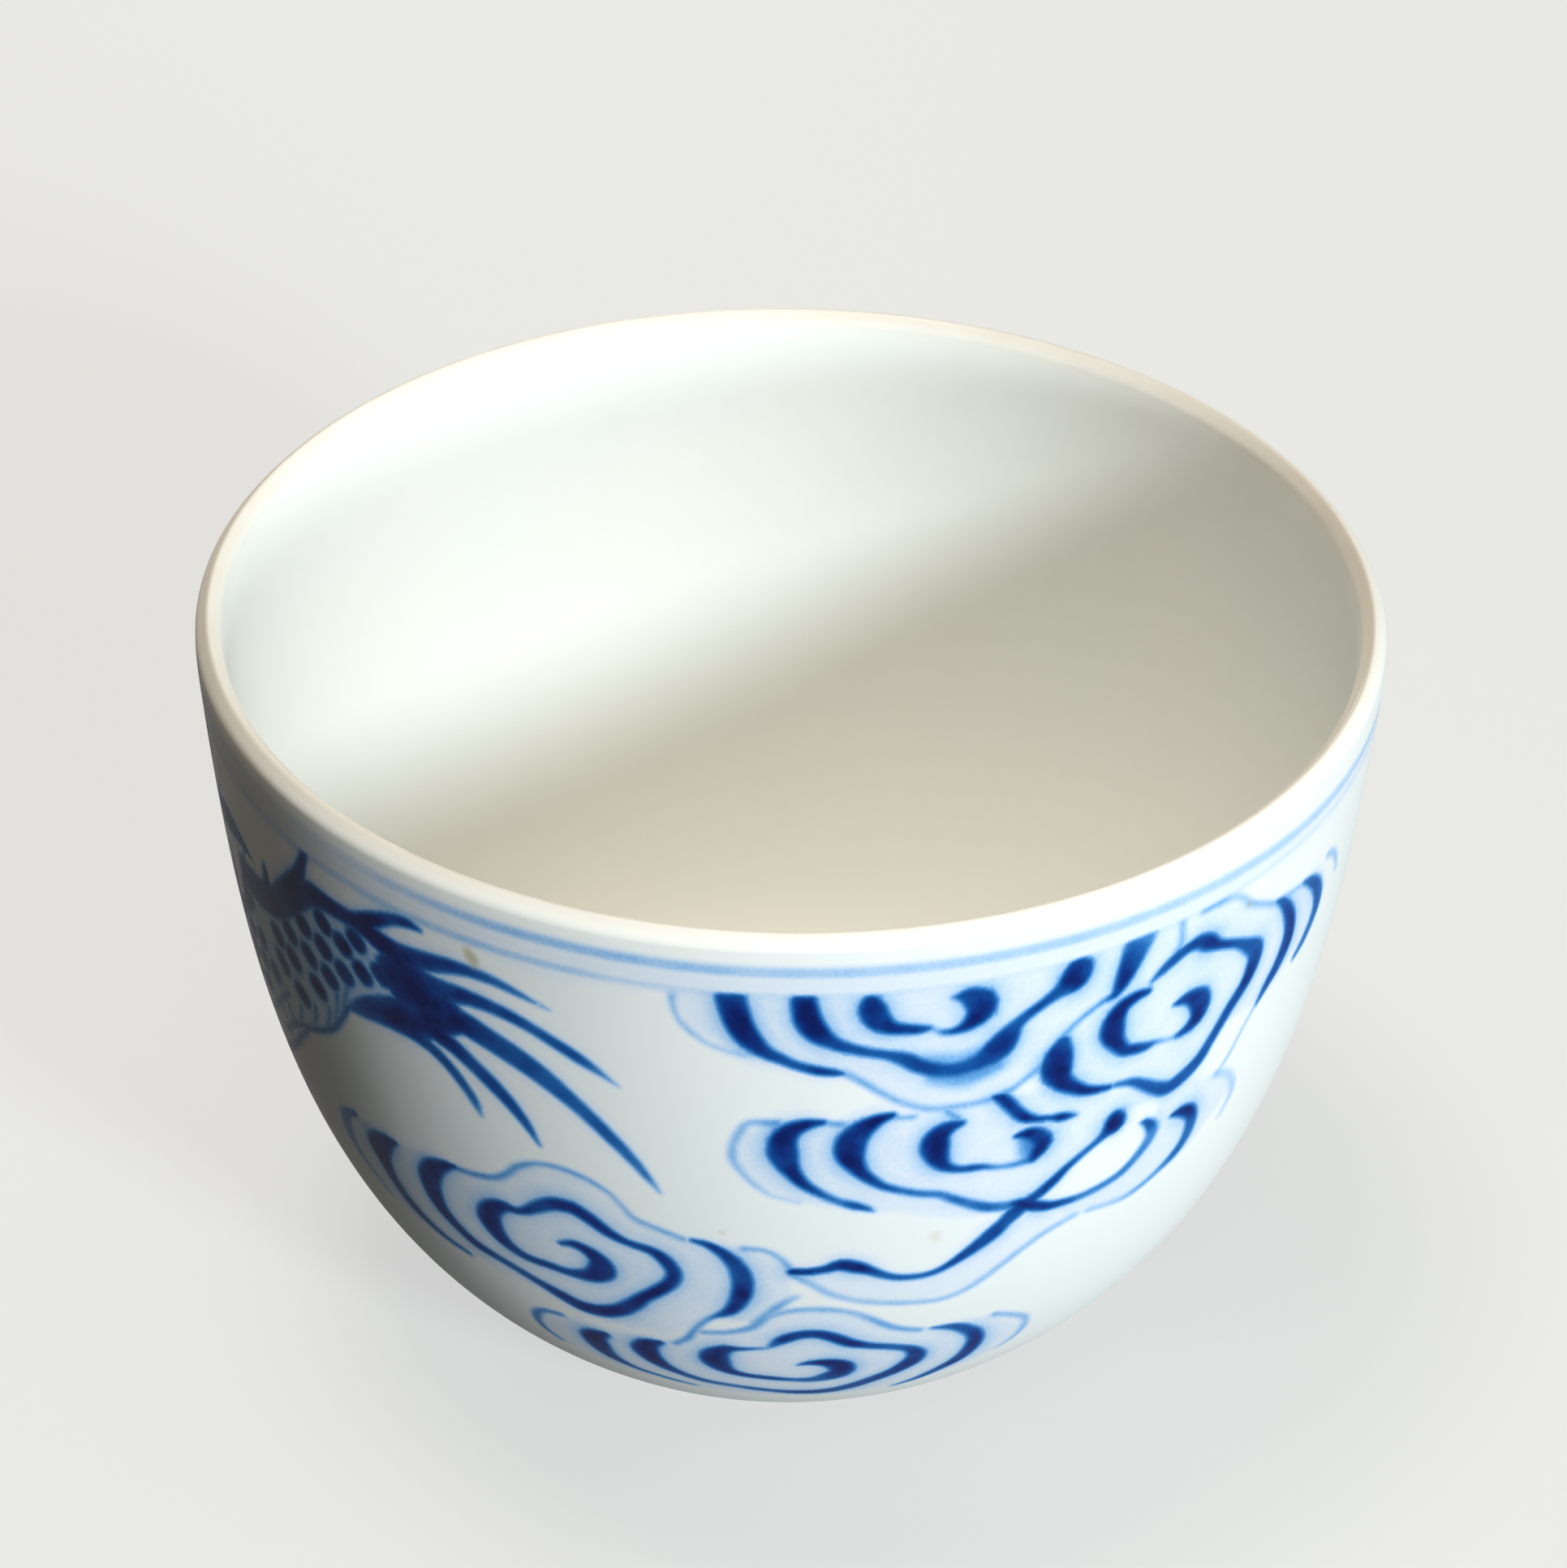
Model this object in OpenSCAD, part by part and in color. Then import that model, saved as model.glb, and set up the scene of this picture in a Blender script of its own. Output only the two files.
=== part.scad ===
// Porcelain tea cup, wheel thrown and turned, with a low foot ring. Sizes are in millimetres.
// The cup stands on z = 0 with its axis on the z axis. The front, where the clouds are, faces -y.

/* [Bowl] */
// Outside diameter across the lip
rim_d = 85; // [76:0.5:96]
// Height from the table to the crown of the lip
cup_h = 60; // [54:0.5:68]
// Thickness of the glazed wall at the lip
lip_t = 2.1; // [1.6:0.1:2.4]
// Lean of the outside wall just under the lip, in degrees
rim_lean = 3.7; // [2:0.1:7]
// Thickness of the glazed wall low down, where it bends in to the floor
wall_t = 3; // [2.6:0.1:3.6]
// Width of the underside, from the foot ring out to where the wall turns under
heel_w = 4.2; // [3.4:0.1:6]
// Height of that turn above the table
turn_h = 3.2; // [3:0.1:4.4]
// Slope of the wall at the turn, in degrees from level
turn_slope = 37.4; // [32:0.2:44]
// Height of the inside floor above the table
floor_h = 6.2; // [5.6:0.1:8]
// Diameter of the level middle of the inside floor
floor_d = 20; // [14:0.5:24]

/* [Foot] */
// Outside diameter of the glazed foot ring where it meets the underside
foot_d = 37.4; // [32:0.2:39]
// Height of the clay foot ring
foot_h = 2.2; // [1.8:0.1:2.6]
// Width of the glazed foot ring at its root
foot_w = 4; // [3.4:0.1:5]
// How far each side of the ring draws in from root to table
foot_taper = 0.3; // [0.1:0.05:0.5]
// Bevel on both corners of the bearing edge
foot_bevel = 0.3; // [0.1:0.05:0.4]
// Height of the bare clay left above the table
bare_h = 0.8; // [0.5:0.05:1.2]

/* [Glaze] */
// Thickness of the glaze
glaze_t = 0.3; // [0.15:0.05:0.4]

/* [Rim lines] */
// Distance from the crown of the lip down the wall to the middle of the upper line
upper_line_s = 3.2; // [2.8:0.1:3.6]
// Width of the upper line
upper_line_w = 0.8; // [0.3:0.05:0.9]
// Distance from the crown of the lip down the wall to the middle of the lower line
lower_line_s = 5; // [4.7:0.1:6]
// Width of the lower line
lower_line_w = 0.35; // [0.2:0.05:0.6]
// Depth of the colour in the glaze
line_t = 0.1; // [0.05:0.01:0.12]

/* [Hidden] */
$fn = 128;

clay_color = "antiquewhite";
glaze_color = "azure";
lip_color = "cornsilk";
cobalt_color = "royalblue";
pale_cobalt_color = "cornflowerblue";

rim_r = rim_d / 2;
lip_r = lip_t / 2;
foot_r = foot_d / 2;
turn_r = foot_r + heel_w;
floor_r = floor_d / 2;

// Handle lengths of the outside wall, as shares of the height and of the rim radius
upper_handle_share = 0.391;
lower_handle_share = 0.475;
// Place on the outside wall where the inside leaves it and bends in to the floor
bend_share = 0.8;

quarter_turn = 90;
half_turn = 180;
lip_steps = 12;
rim_steps = 2;
wall_steps = 26;
under_steps = 5;
inner_steps = 20;
floor_steps = 12;
table_steps = 96;

// Points and slopes of Bezier curves
function bezier3(p, t) =
    pow(1 - t, 3) * p[0] + 3 * pow(1 - t, 2) * t * p[1]
    + 3 * (1 - t) * t * t * p[2] + t * t * t * p[3];
function slope3(p, t) =
    pow(1 - t, 2) * (p[1] - p[0]) + 2 * (1 - t) * t * (p[2] - p[1]) + t * t * (p[3] - p[2]);
function bezier2(p, t) = pow(1 - t, 2) * p[0] + 2 * (1 - t) * t * p[1] + t * t * p[2];
function slope2(p, t) = (1 - t) * (p[1] - p[0]) + t * (p[2] - p[1]);
// The unit vector a quarter turn clockwise from v. Going down the outside, it points into the clay
function aside(v) = [v[1], -v[0]] / norm(v);
function reversed(list) = [for (i = [len(list) - 1:-1:0]) list[i]];
function steps(from, to, count) = [for (i = [0:count]) from + (to - from) * i / count];

lip_centre = [rim_r - lip_r, cup_h - lip_r];
function lip_point(a, inset = 0) = lip_centre + (lip_r - inset) * [cos(a), sin(a)];

// Outside wall, from the lip down to the turn
wall_top = lip_point(-rim_lean);
wall_end = [turn_r, turn_h];
wall_curve = [
    wall_top,
    wall_top - upper_handle_share * cup_h * [sin(rim_lean), cos(rim_lean)],
    wall_end + lower_handle_share * rim_r * [cos(turn_slope), sin(turn_slope)],
    wall_end
];
function wall(t, inset = 0) =
    bezier3(wall_curve, t) + inset * aside(slope3(wall_curve, t));

// Underside, from the turn in to the root of the foot ring, where it is level
under_end = [foot_r, foot_h - glaze_t];
under_curve = [
    wall_end,
    [turn_r - (turn_h - under_end[1]) / tan(turn_slope), under_end[1]],
    under_end
];
function under(t, inset = 0) =
    bezier2(under_curve, t) + inset * aside(slope2(under_curve, t));

// Inside wall, a thickness away from the outside one that grows from the lip to the bend
function thickness(t) = lip_t + (wall_t - lip_t) * t / bend_share;
function inner(t, inset = 0) = wall(t, thickness(t) - inset);

// Inside floor, from the bend to its level middle
bend_point = inner(bend_share);
bend_slope = slope3(wall_curve, bend_share);
floor_curve = [
    bend_point,
    [bend_point[0] - (bend_point[1] - floor_h) * bend_slope[0] / bend_slope[1], floor_h],
    [floor_r, floor_h]
];
function floor_bend(t, inset = 0) =
    bezier2(floor_curve, t) - inset * aside(slope2(floor_curve, t));

// Length of the wall from the crown of the lip to each of table_steps places, and back again
crown_to_wall = lip_r * (quarter_turn + rim_lean) * PI / half_turn;
function wall_lengths(i = 0, sum = crown_to_wall) =
    i > table_steps ? []
    : concat([[sum, i / table_steps]], wall_lengths(i + 1, sum + wall_chord(i)));
function wall_chord(i) = norm(wall((i + 1) / table_steps) - wall(i / table_steps));
length_table = wall_lengths();
function wall_at(s) = lookup(s, length_table);

// Places on the wall where the rim lines begin and end
upper_from = wall_at(upper_line_s - upper_line_w / 2);
upper_to = wall_at(upper_line_s + upper_line_w / 2);
lower_from = wall_at(lower_line_s - lower_line_w / 2);
lower_to = wall_at(lower_line_s + lower_line_w / 2);
wall_places = concat(
    steps(0, upper_from, rim_steps),
    steps(upper_to, lower_from, rim_steps),
    steps(lower_to, 1, wall_steps)
);

// Radius of each side of the foot ring at height z, through the glaze by inset
function foot_out(z, inset = 0) = foot_r - foot_taper * (1 - z / foot_h) - inset;
function foot_in(z, inset = 0) = foot_r - foot_w + foot_taper * (1 - z / foot_h) + inset;

lip_angles = steps(-rim_lean, half_turn - rim_lean, lip_steps);
under_places = steps(0, 1, under_steps);

// Inside of the bowl from the lip down to its middle, through the glaze by inset
function bowl(inset = 0) = concat(
    [for (t = steps(0, bend_share, inner_steps)) inner(t, inset)],
    [for (t = steps(0, 1, floor_steps)) if (t > 0) floor_bend(t, inset)],
    [[0, floor_h - inset]]
);

// Clay under the glaze outside, from the lip down to the foot, and over the lip
clay_wall = [for (t = wall_places) wall(t, glaze_t)];
clay_under = [for (t = under_places) under(t, glaze_t)];
clay_lip = [for (a = reversed(lip_angles)) lip_point(a, glaze_t)];

// Wall and floor of the bowl, thrown in one piece
module body() {
    color(clay_color)
    rotate_extrude()
    polygon(concat(
        clay_wall,
        clay_under,
        [[0, foot_h]],
        reversed(bowl(glaze_t)),
        clay_lip
    ));
}

// Turned ring that the cup stands on, with a bare bearing edge
module foot_ring() {
    color(clay_color)
    rotate_extrude()
    polygon([
        [foot_out(foot_h, glaze_t), foot_h],
        [foot_in(foot_h, glaze_t), foot_h],
        [foot_in(foot_bevel, glaze_t), foot_bevel],
        [foot_in(0, glaze_t + foot_bevel), 0],
        [foot_out(0, glaze_t + foot_bevel), 0],
        [foot_out(foot_bevel, glaze_t), foot_bevel]
    ]);
}

// Glaze inside the bowl
module inner_glaze() {
    color(glaze_color)
    rotate_extrude()
    polygon(concat(bowl(), reversed(bowl(glaze_t))));
}

// Glaze over the crown of the lip, where it runs thin
module lip_glaze() {
    color(lip_color)
    rotate_extrude()
    polygon(concat([for (a = lip_angles) lip_point(a)], clay_lip));
}

// Glaze outside, down to the bare edge of the foot, with a groove for each rim line
module outer_glaze() {
    color(glaze_color)
    rotate_extrude()
    polygon(concat(
        [for (t = steps(0, upper_from, rim_steps)) wall(t)],
        [wall(upper_from, line_t), wall(upper_to, line_t)],
        [for (t = steps(upper_to, lower_from, rim_steps)) wall(t)],
        [wall(lower_from, line_t), wall(lower_to, line_t)],
        [for (t = steps(lower_to, 1, wall_steps)) wall(t)],
        [for (t = under_places) if (t > 0) under(t)],
        [[foot_out(bare_h), bare_h], [foot_out(bare_h, glaze_t), bare_h]],
        [[foot_out(foot_h, glaze_t), foot_h]],
        reversed(clay_under),
        reversed(clay_wall)
    ));
}

// Glaze in the shallow well inside the foot ring
module well_glaze() {
    color(glaze_color)
    rotate_extrude()
    polygon([
        [0, foot_h],
        [foot_in(foot_h, glaze_t), foot_h],
        [foot_in(bare_h, glaze_t), bare_h],
        [foot_in(bare_h), bare_h],
        [foot_in(foot_h - glaze_t), foot_h - glaze_t],
        [0, foot_h - glaze_t]
    ]);
}

// Cobalt line in the glaze between two places on the wall
module rim_line(from, to) {
    rotate_extrude()
    polygon([wall(from), wall(to), wall(to, line_t), wall(from, line_t)]);
}

module upper_rim_line() {
    color(cobalt_color)
    rim_line(upper_from, upper_to);
}

module lower_rim_line() {
    color(pale_cobalt_color)
    rim_line(lower_from, lower_to);
}

body();
foot_ring();
inner_glaze();
lip_glaze();
outer_glaze();
well_glaze();
upper_rim_line();
lower_rim_line();
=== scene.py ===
"""The finish of a porcelain tea cup, painted in cobalt blue with scroll clouds and a dragon.

Lengths are in metres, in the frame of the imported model. The cup stands on z = 0 with its axis on the
z axis, and its front faces -y. A place on the painted wall is an angle round the cup, in degrees from
the front towards +x, and a distance in millimetres down the wall from the crown of the lip.
"""
import math

import bpy
import numpy as np
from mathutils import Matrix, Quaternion, Vector
from mathutils.geometry import delaunay_2d_cdt


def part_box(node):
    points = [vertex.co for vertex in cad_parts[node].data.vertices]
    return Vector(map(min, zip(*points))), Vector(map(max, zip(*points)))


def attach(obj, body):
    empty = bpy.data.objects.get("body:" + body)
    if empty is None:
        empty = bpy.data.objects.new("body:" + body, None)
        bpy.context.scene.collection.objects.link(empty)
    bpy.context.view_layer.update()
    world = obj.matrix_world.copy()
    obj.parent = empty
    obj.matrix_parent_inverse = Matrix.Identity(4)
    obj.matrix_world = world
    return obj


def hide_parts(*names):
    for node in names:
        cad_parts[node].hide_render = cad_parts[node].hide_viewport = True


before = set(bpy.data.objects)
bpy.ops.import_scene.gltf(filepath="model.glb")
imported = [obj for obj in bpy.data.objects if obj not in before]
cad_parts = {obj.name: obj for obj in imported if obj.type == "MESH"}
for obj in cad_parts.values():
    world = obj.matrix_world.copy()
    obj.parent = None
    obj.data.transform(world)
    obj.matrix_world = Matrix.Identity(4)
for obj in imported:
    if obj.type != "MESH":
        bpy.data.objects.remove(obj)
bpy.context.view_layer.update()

MM = 0.001

# Sizes of the cup, its overall ones from the frame
RIM_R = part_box("lip_glaze")[1].x
CUP_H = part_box("lip_glaze")[1].z
GLAZE_T = 0.3 * MM
FLOOR_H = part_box("inner_glaze")[0].z + GLAZE_T
FOOT_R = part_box("foot_ring")[1].x + GLAZE_T
FOOT_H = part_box("foot_ring")[1].z
LIP_R = 1.05 * MM
RIM_LEAN = math.radians(3.7)
TOP_WALL_T = 2.1 * MM
LOW_WALL_T = 3 * MM
HEEL_W = 4.2 * MM
TURN_H = 3.2 * MM
TURN_SLOPE = math.radians(37.4)
FLOOR_R = 10 * MM
FOOT_W = 4 * MM
FOOT_TAPER = 0.3 * MM
BARE_H = 0.8 * MM
BEAD_R = 0.22 * MM
FILLET = 0.45 * MM
UPPER_HANDLE = 0.391
LOWER_HANDLE = 0.475
BEND = 0.8
# How far the roll of the lip draws it in, and how far from the crown it does so most, in millimetres
ROLL_DEPTH_MM = 0.22
ROLL_MIDDLE_MM = 0.85
LIP_CENTRE = np.array([RIM_R - LIP_R, CUP_H - LIP_R])

# Steps round the cup and along its curves
COLUMNS = 360
LIP_STEPS = 24
WALL_STEPS = 60
BACK_STEPS = 12
FLOOR_STEPS = 24
CORNER_STEPS = 8
LENGTH_STEPS = 2000
# Above 1, this power draws the steps of the inside wall towards the lip
LIP_CROWDING = 1.6

# Steps along the strokes, and least gaps between the points of the painted mesh, in millimetres
BRUSH_STEP = 0.5
RIM_BRUSH_STEP = 1.2
LEAST_GAP = 0.116
BACK_GAP = 0.205
FIELD_STEP = 1.0
FIELD_GAP = 0.6
EDGE_CLEAR = 0.15
SEAM_CLEAR_DEG = 0.2
# The points are wider apart beyond this angle from the front
BACK_FROM_DEG = 72
# First and last of the rows of points under the rim lines, and the steps between and along them
RIM_ROWS = (2.3, 5.6, 0.2)
RIM_STEP_DEG = 0.65
# Steps of the points round the end of a stroke, and least share of its half width away from its middle
END_STEP_DEG = 30
LEAST_REACH = 0.2

# How far the blue spreads and softens in the glaze, in millimetres, and how strongly
LEAST_HALF_W = 0.04
INK_SPREAD = 0.08
INK_SPREAD_FROM = 1.5
EDGE_SOFT = 0.27
PALE_SOFT = 0.45
LINE_SOFT = 0.3
CORE_FADE = 0.22
BLEED = 0.3
BLEED_W = 0.6
BLEED_REACH = 1.8
BLEED_FADE = 0.5
WASH_SOFT = 0.45
WASH_MM_PER_DEGREE = 0.7
TOP_OF_PAINTING = 4.8
TOP_FADE = 0.55
# The lip's cream, partly the thin glaze's colour and partly painted shade on the crown: how far it fades, and
# how far inside the crown it centres
LIP_FADE = 1.1
CREAM_AND_SHADE_INWARD = 0.5 * MM


def bezier(points, t):
    """Points on a Bezier curve at each t."""
    rows = [np.outer(np.ones_like(t), p) for p in points]
    while len(rows) > 1:
        rows = [a + (b - a) * t[:, None] for a, b in zip(rows, rows[1:])]
    return rows[0]


def unit(v):
    return v / np.maximum(np.linalg.norm(v, axis=-1, keepdims=True), 1e-12)


def curve(points, t, inset=0.0, side=1):
    """Places on a curve moved in by inset, and the unit vectors out of the surface there.

    With side 1 the surface faces left of the curve's direction, and with -1 it faces right.
    """
    slope = bezier(np.diff(points, axis=0), t)
    normal = side * unit(np.stack([-slope[:, 1], slope[:, 0]], axis=1))
    return bezier(points, t) - normal * np.reshape(inset, (-1, 1)), normal


def joined(*parts):
    """One profile from several that meet, without the doubled ends."""
    places = [parts[0][0]] + [p[0][1:] for p in parts[1:]]
    normals = [parts[0][1]] + [p[1][1:] for p in parts[1:]]
    return np.concatenate(places), np.concatenate(normals)


def steps(count, start=0.0, end=1.0):
    return np.linspace(start, end, count + 1)


def soft_step(x):
    x = np.clip(x, 0, 1)
    return x * x * (3 - 2 * x)


def rolled(place, normal, down):
    """Draws a profile in by the roll of the lip, and leans its normals to suit.

    Down is the distance in millimetres from the crown, above 0 outside and below 0 inside the bowl.
    """
    def depth(s):
        x = np.abs(s) / ROLL_MIDDLE_MM
        return ROLL_DEPTH_MM * (x * np.exp(1 - x)) ** 2

    step = 0.01
    lean = (depth(down + step) - depth(down - step))[:, None] / (2 * step)
    along = np.stack([normal[:, 1], -normal[:, 0]], axis=1)
    return place - normal * depth(down)[:, None] * MM, unit(normal + along * lean)


def lip(inset=0.0):
    """Round of the lip, from the outside over the crown to the inside."""
    a = steps(LIP_STEPS, -RIM_LEAN, math.pi - RIM_LEAN)
    normal = np.stack([np.cos(a), np.sin(a)], axis=1)
    place = LIP_CENTRE + (LIP_R - inset) * normal
    if inset:
        return place, normal
    return rolled(place, normal, (math.pi / 2 - a) * LIP_R / MM)


wall_top = LIP_CENTRE + LIP_R * np.array([math.cos(RIM_LEAN), -math.sin(RIM_LEAN)])
wall_end = np.array([FOOT_R + HEEL_W, TURN_H])
wall_points = [
    wall_top,
    wall_top - UPPER_HANDLE * CUP_H * np.array([math.sin(RIM_LEAN), math.cos(RIM_LEAN)]),
    wall_end + LOWER_HANDLE * RIM_R * np.array([math.cos(TURN_SLOPE), math.sin(TURN_SLOPE)]),
    wall_end,
]
under_z = FOOT_H - GLAZE_T
under_points = [
    wall_end,
    np.array([wall_end[0] - (TURN_H - under_z) / math.tan(TURN_SLOPE), under_z]),
    np.array([FOOT_R, under_z]),
]


def lengths(places):
    """Distance in millimetres along a path to each of its places."""
    return np.concatenate([[0], np.cumsum(np.linalg.norm(np.diff(places, axis=0), axis=1))]) / MM


def inner_wall(inset=0.0, count=WALL_STEPS):
    """Inside wall, from the lip down to the bend, in shorter steps near the lip."""
    t = BEND * steps(count) ** LIP_CROWDING
    thickness = TOP_WALL_T + (LOW_WALL_T - TOP_WALL_T) * t / BEND
    place, normal = curve(wall_points, t, thickness - inset)
    if inset:
        return place, -normal
    return rolled(place, -normal, -(LIP_R / MM * (math.pi / 2 - RIM_LEAN) + lengths(place)))


def floor_bend(inset=0.0):
    """Inside floor, from the bend to the axis."""
    bend = curve(wall_points, np.array([BEND]), LOW_WALL_T)[0][0]
    slope = bezier(np.diff(wall_points, axis=0), np.array([BEND]))[0]
    turn = np.array([bend[0] - (bend[1] - FLOOR_H) * slope[0] / slope[1], FLOOR_H])
    place, normal = curve([bend, turn, [FLOOR_R, FLOOR_H]], steps(FLOOR_STEPS), inset, -1)
    level = np.stack([steps(CORNER_STEPS, FLOOR_R, 0), np.full(CORNER_STEPS + 1, FLOOR_H - inset)], axis=1)
    return joined((place, normal), (level, np.tile([0.0, 1.0], (CORNER_STEPS + 1, 1))))


def foot_side(z, side):
    """Radius of the glazed side of the foot ring, outside for side 1 and inside for -1."""
    root = FOOT_R if side > 0 else FOOT_R - FOOT_W
    return root - side * FOOT_TAPER * (1 - z / FOOT_H)


def foot_glaze(ceiling, side):
    """Glaze from under the bowl round the corner and down one side of the foot ring to its bead."""
    low = BARE_H + BEAD_R
    corner = [
        ceiling,
        np.array([foot_side(under_z, side), under_z]),
        np.array([foot_side(under_z - FILLET, side), under_z - FILLET]),
    ]
    edge = np.array([foot_side(low, side), low])
    middle = edge - [side * BEAD_R, 0]
    a = steps(CORNER_STEPS, 0, -math.pi / 2)
    out = np.stack([side * np.cos(a), np.sin(a)], axis=1)
    return joined(
        curve(corner, steps(CORNER_STEPS), 0, side),
        curve([corner[-1], edge], steps(2), 0, side),
        (middle + BEAD_R * out, out),
    )


def under():
    """Underside of the bowl from the turn to the foot, and the glaze down the foot's outside."""
    t = steps(WALL_STEPS)
    place = bezier(under_points, t)
    last = np.interp(-(FOOT_R + FILLET), -place[:, 0], t)
    arrive = curve(under_points, steps(CORNER_STEPS, 0, last))
    return joined(arrive, foot_glaze(arrive[0][-1], 1))


def well():
    """Ceiling of the well inside the foot ring, and the glaze down the foot's inside."""
    reach = foot_side(under_z, -1) - FILLET
    ceiling = np.stack([steps(CORNER_STEPS, 0, reach), np.full(CORNER_STEPS + 1, under_z)], axis=1)
    down = np.tile([0.0, -1.0], (CORNER_STEPS + 1, 1))
    return joined((ceiling, down), foot_glaze(ceiling[-1], -1))


def clay_side(side):
    """Clay of the foot ring under its glaze, from the bare edge up to its root."""
    z = np.array([BARE_H, FOOT_H])
    return np.stack([foot_side(z, side) - side * GLAZE_T, z], axis=1)


# Distance down the outside wall from the crown of the lip, and the place on the wall for each
wall_shares = steps(LENGTH_STEPS)
wall_profile = curve(wall_points, wall_shares)[0]
wall_lengths = LIP_R * (math.pi / 2 + RIM_LEAN) / MM + lengths(wall_profile)
WALL_FROM, WALL_TO = wall_lengths[0], wall_lengths[-1]
# Millimetres across for each degree on the unrolled wall
FLAT_SCALE = math.radians(1) * RIM_R / MM
# Angles of the columns, in degrees with the seam at both ends, and in radians
COLUMN_DEG = np.arange(COLUMNS + 1) * 360 / COLUMNS - 180
COLUMN_ANGLES = np.radians(COLUMN_DEG[:-1])
# Radius below which a place is on the axis
ON_AXIS = 1e-9


def wall_radius(down):
    """Radius of the outside wall in millimetres."""
    return np.interp(down, wall_lengths, wall_profile[:, 0]) / MM


def on_wall(angle, down):
    """Places on the outside wall and the unit vectors out of it there."""
    share = np.interp(down, wall_lengths, wall_shares)
    place, normal = rolled(*curve(wall_points, share), down)
    a = np.radians(angle)
    return round_axis(place, a), round_axis(normal, a)


def round_axis(flat, a):
    """Turns (radius, height) pairs about the axis by the angles a, measured from the front."""
    flat = np.broadcast_to(flat, (len(a), 2))
    return np.stack([flat[:, 0] * np.sin(a), -flat[:, 0] * np.cos(a), flat[:, 1]], axis=1)


# Brush strokes. Each point is angle, distance down the wall, half width and strength of the blue.
# A point that leaves out its strength, or its width too, has those of the point before.
CLOUD_1 = [
    [(-10.2, 5.7, .25, .3), (-9.95, 7, .18), (-9, 8.3, .15, .28), (-6.8, 9.6, .15, .25),
     (-3.7, 10.4, .15, .15)],
    [(-4.97, 5.35, .95, .85), (-4.65, 6.55, .9, 1), (-4.1, 7.87, .85), (-3.25, 8.95, .75),
     (-2, 9.87, .5, .95), (-.6, 10.5, .38, .85), (.95, 11.1, .32, .75), (2.8, 11.57, .33, .9),
     (4.4, 11.8, .25, .85), (5.15, 11.9, .12, .6)],
    [(1.4, 5.4, .8, .85), (1.6, 6.35, .82, 1), (1.95, 7.4, .85), (2.85, 8.4, .72), (3.9, 9.05, .5, .95),
     (5.3, 9.6, .4, .85), (7.2, 10.1, .33, .8), (9.05, 10.5, .35, .75), (10.6, 11, .5, .8),
     (11.85, 11.7, .5, .75), (13.4, 12.25), (15, 12.5), (16.5, 12.4, .55), (18.1, 12, .7, .85),
     (19.4, 11.3, 1, 1), (20.2, 10.4, .8, .95), (20.9, 9.6, .5, .8), (22.1, 8.85, .38), (23.7, 8.1),
     (25.25, 7.4, .6, .85), (26.4, 6.75, 1.05, 1), (26.8, 6.1, 1, .95)],
    [(7.35, 5.85, .6, .95), (7.5, 6.45, .85, 1), (8.1, 7.4, .8), (9.2, 8.1, .5), (10.6, 8.35, .38, .95),
     (11.85, 8.5, .32, .9), (12.7, 8.5, .18, .7)],
    [(14.8, 6.1, .1, .5), (15.6, 6.15, .35, .85), (16.3, 6.25, .65, .9), (17.3, 6.8, 1, .95),
     (17.5, 7.6, .95), (16.6, 8.5, .55, .9), (15.4, 9, .28, .75), (14.2, 9.05, .2, .6),
     (13.4, 8.8, .12, .35), (12.7, 8.5, .15, .4)],
    [(5.3, 11.95, .25, .3), (6.6, 12.65), (8.75, 13.95), (10.9, 15.05), (12.8, 15.7), (15.3, 15.9),
     (18.4, 15.9), (20.9, 15.4), (22.8, 14.5), (23.9, 13.85, .25, .25)],
]
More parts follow.
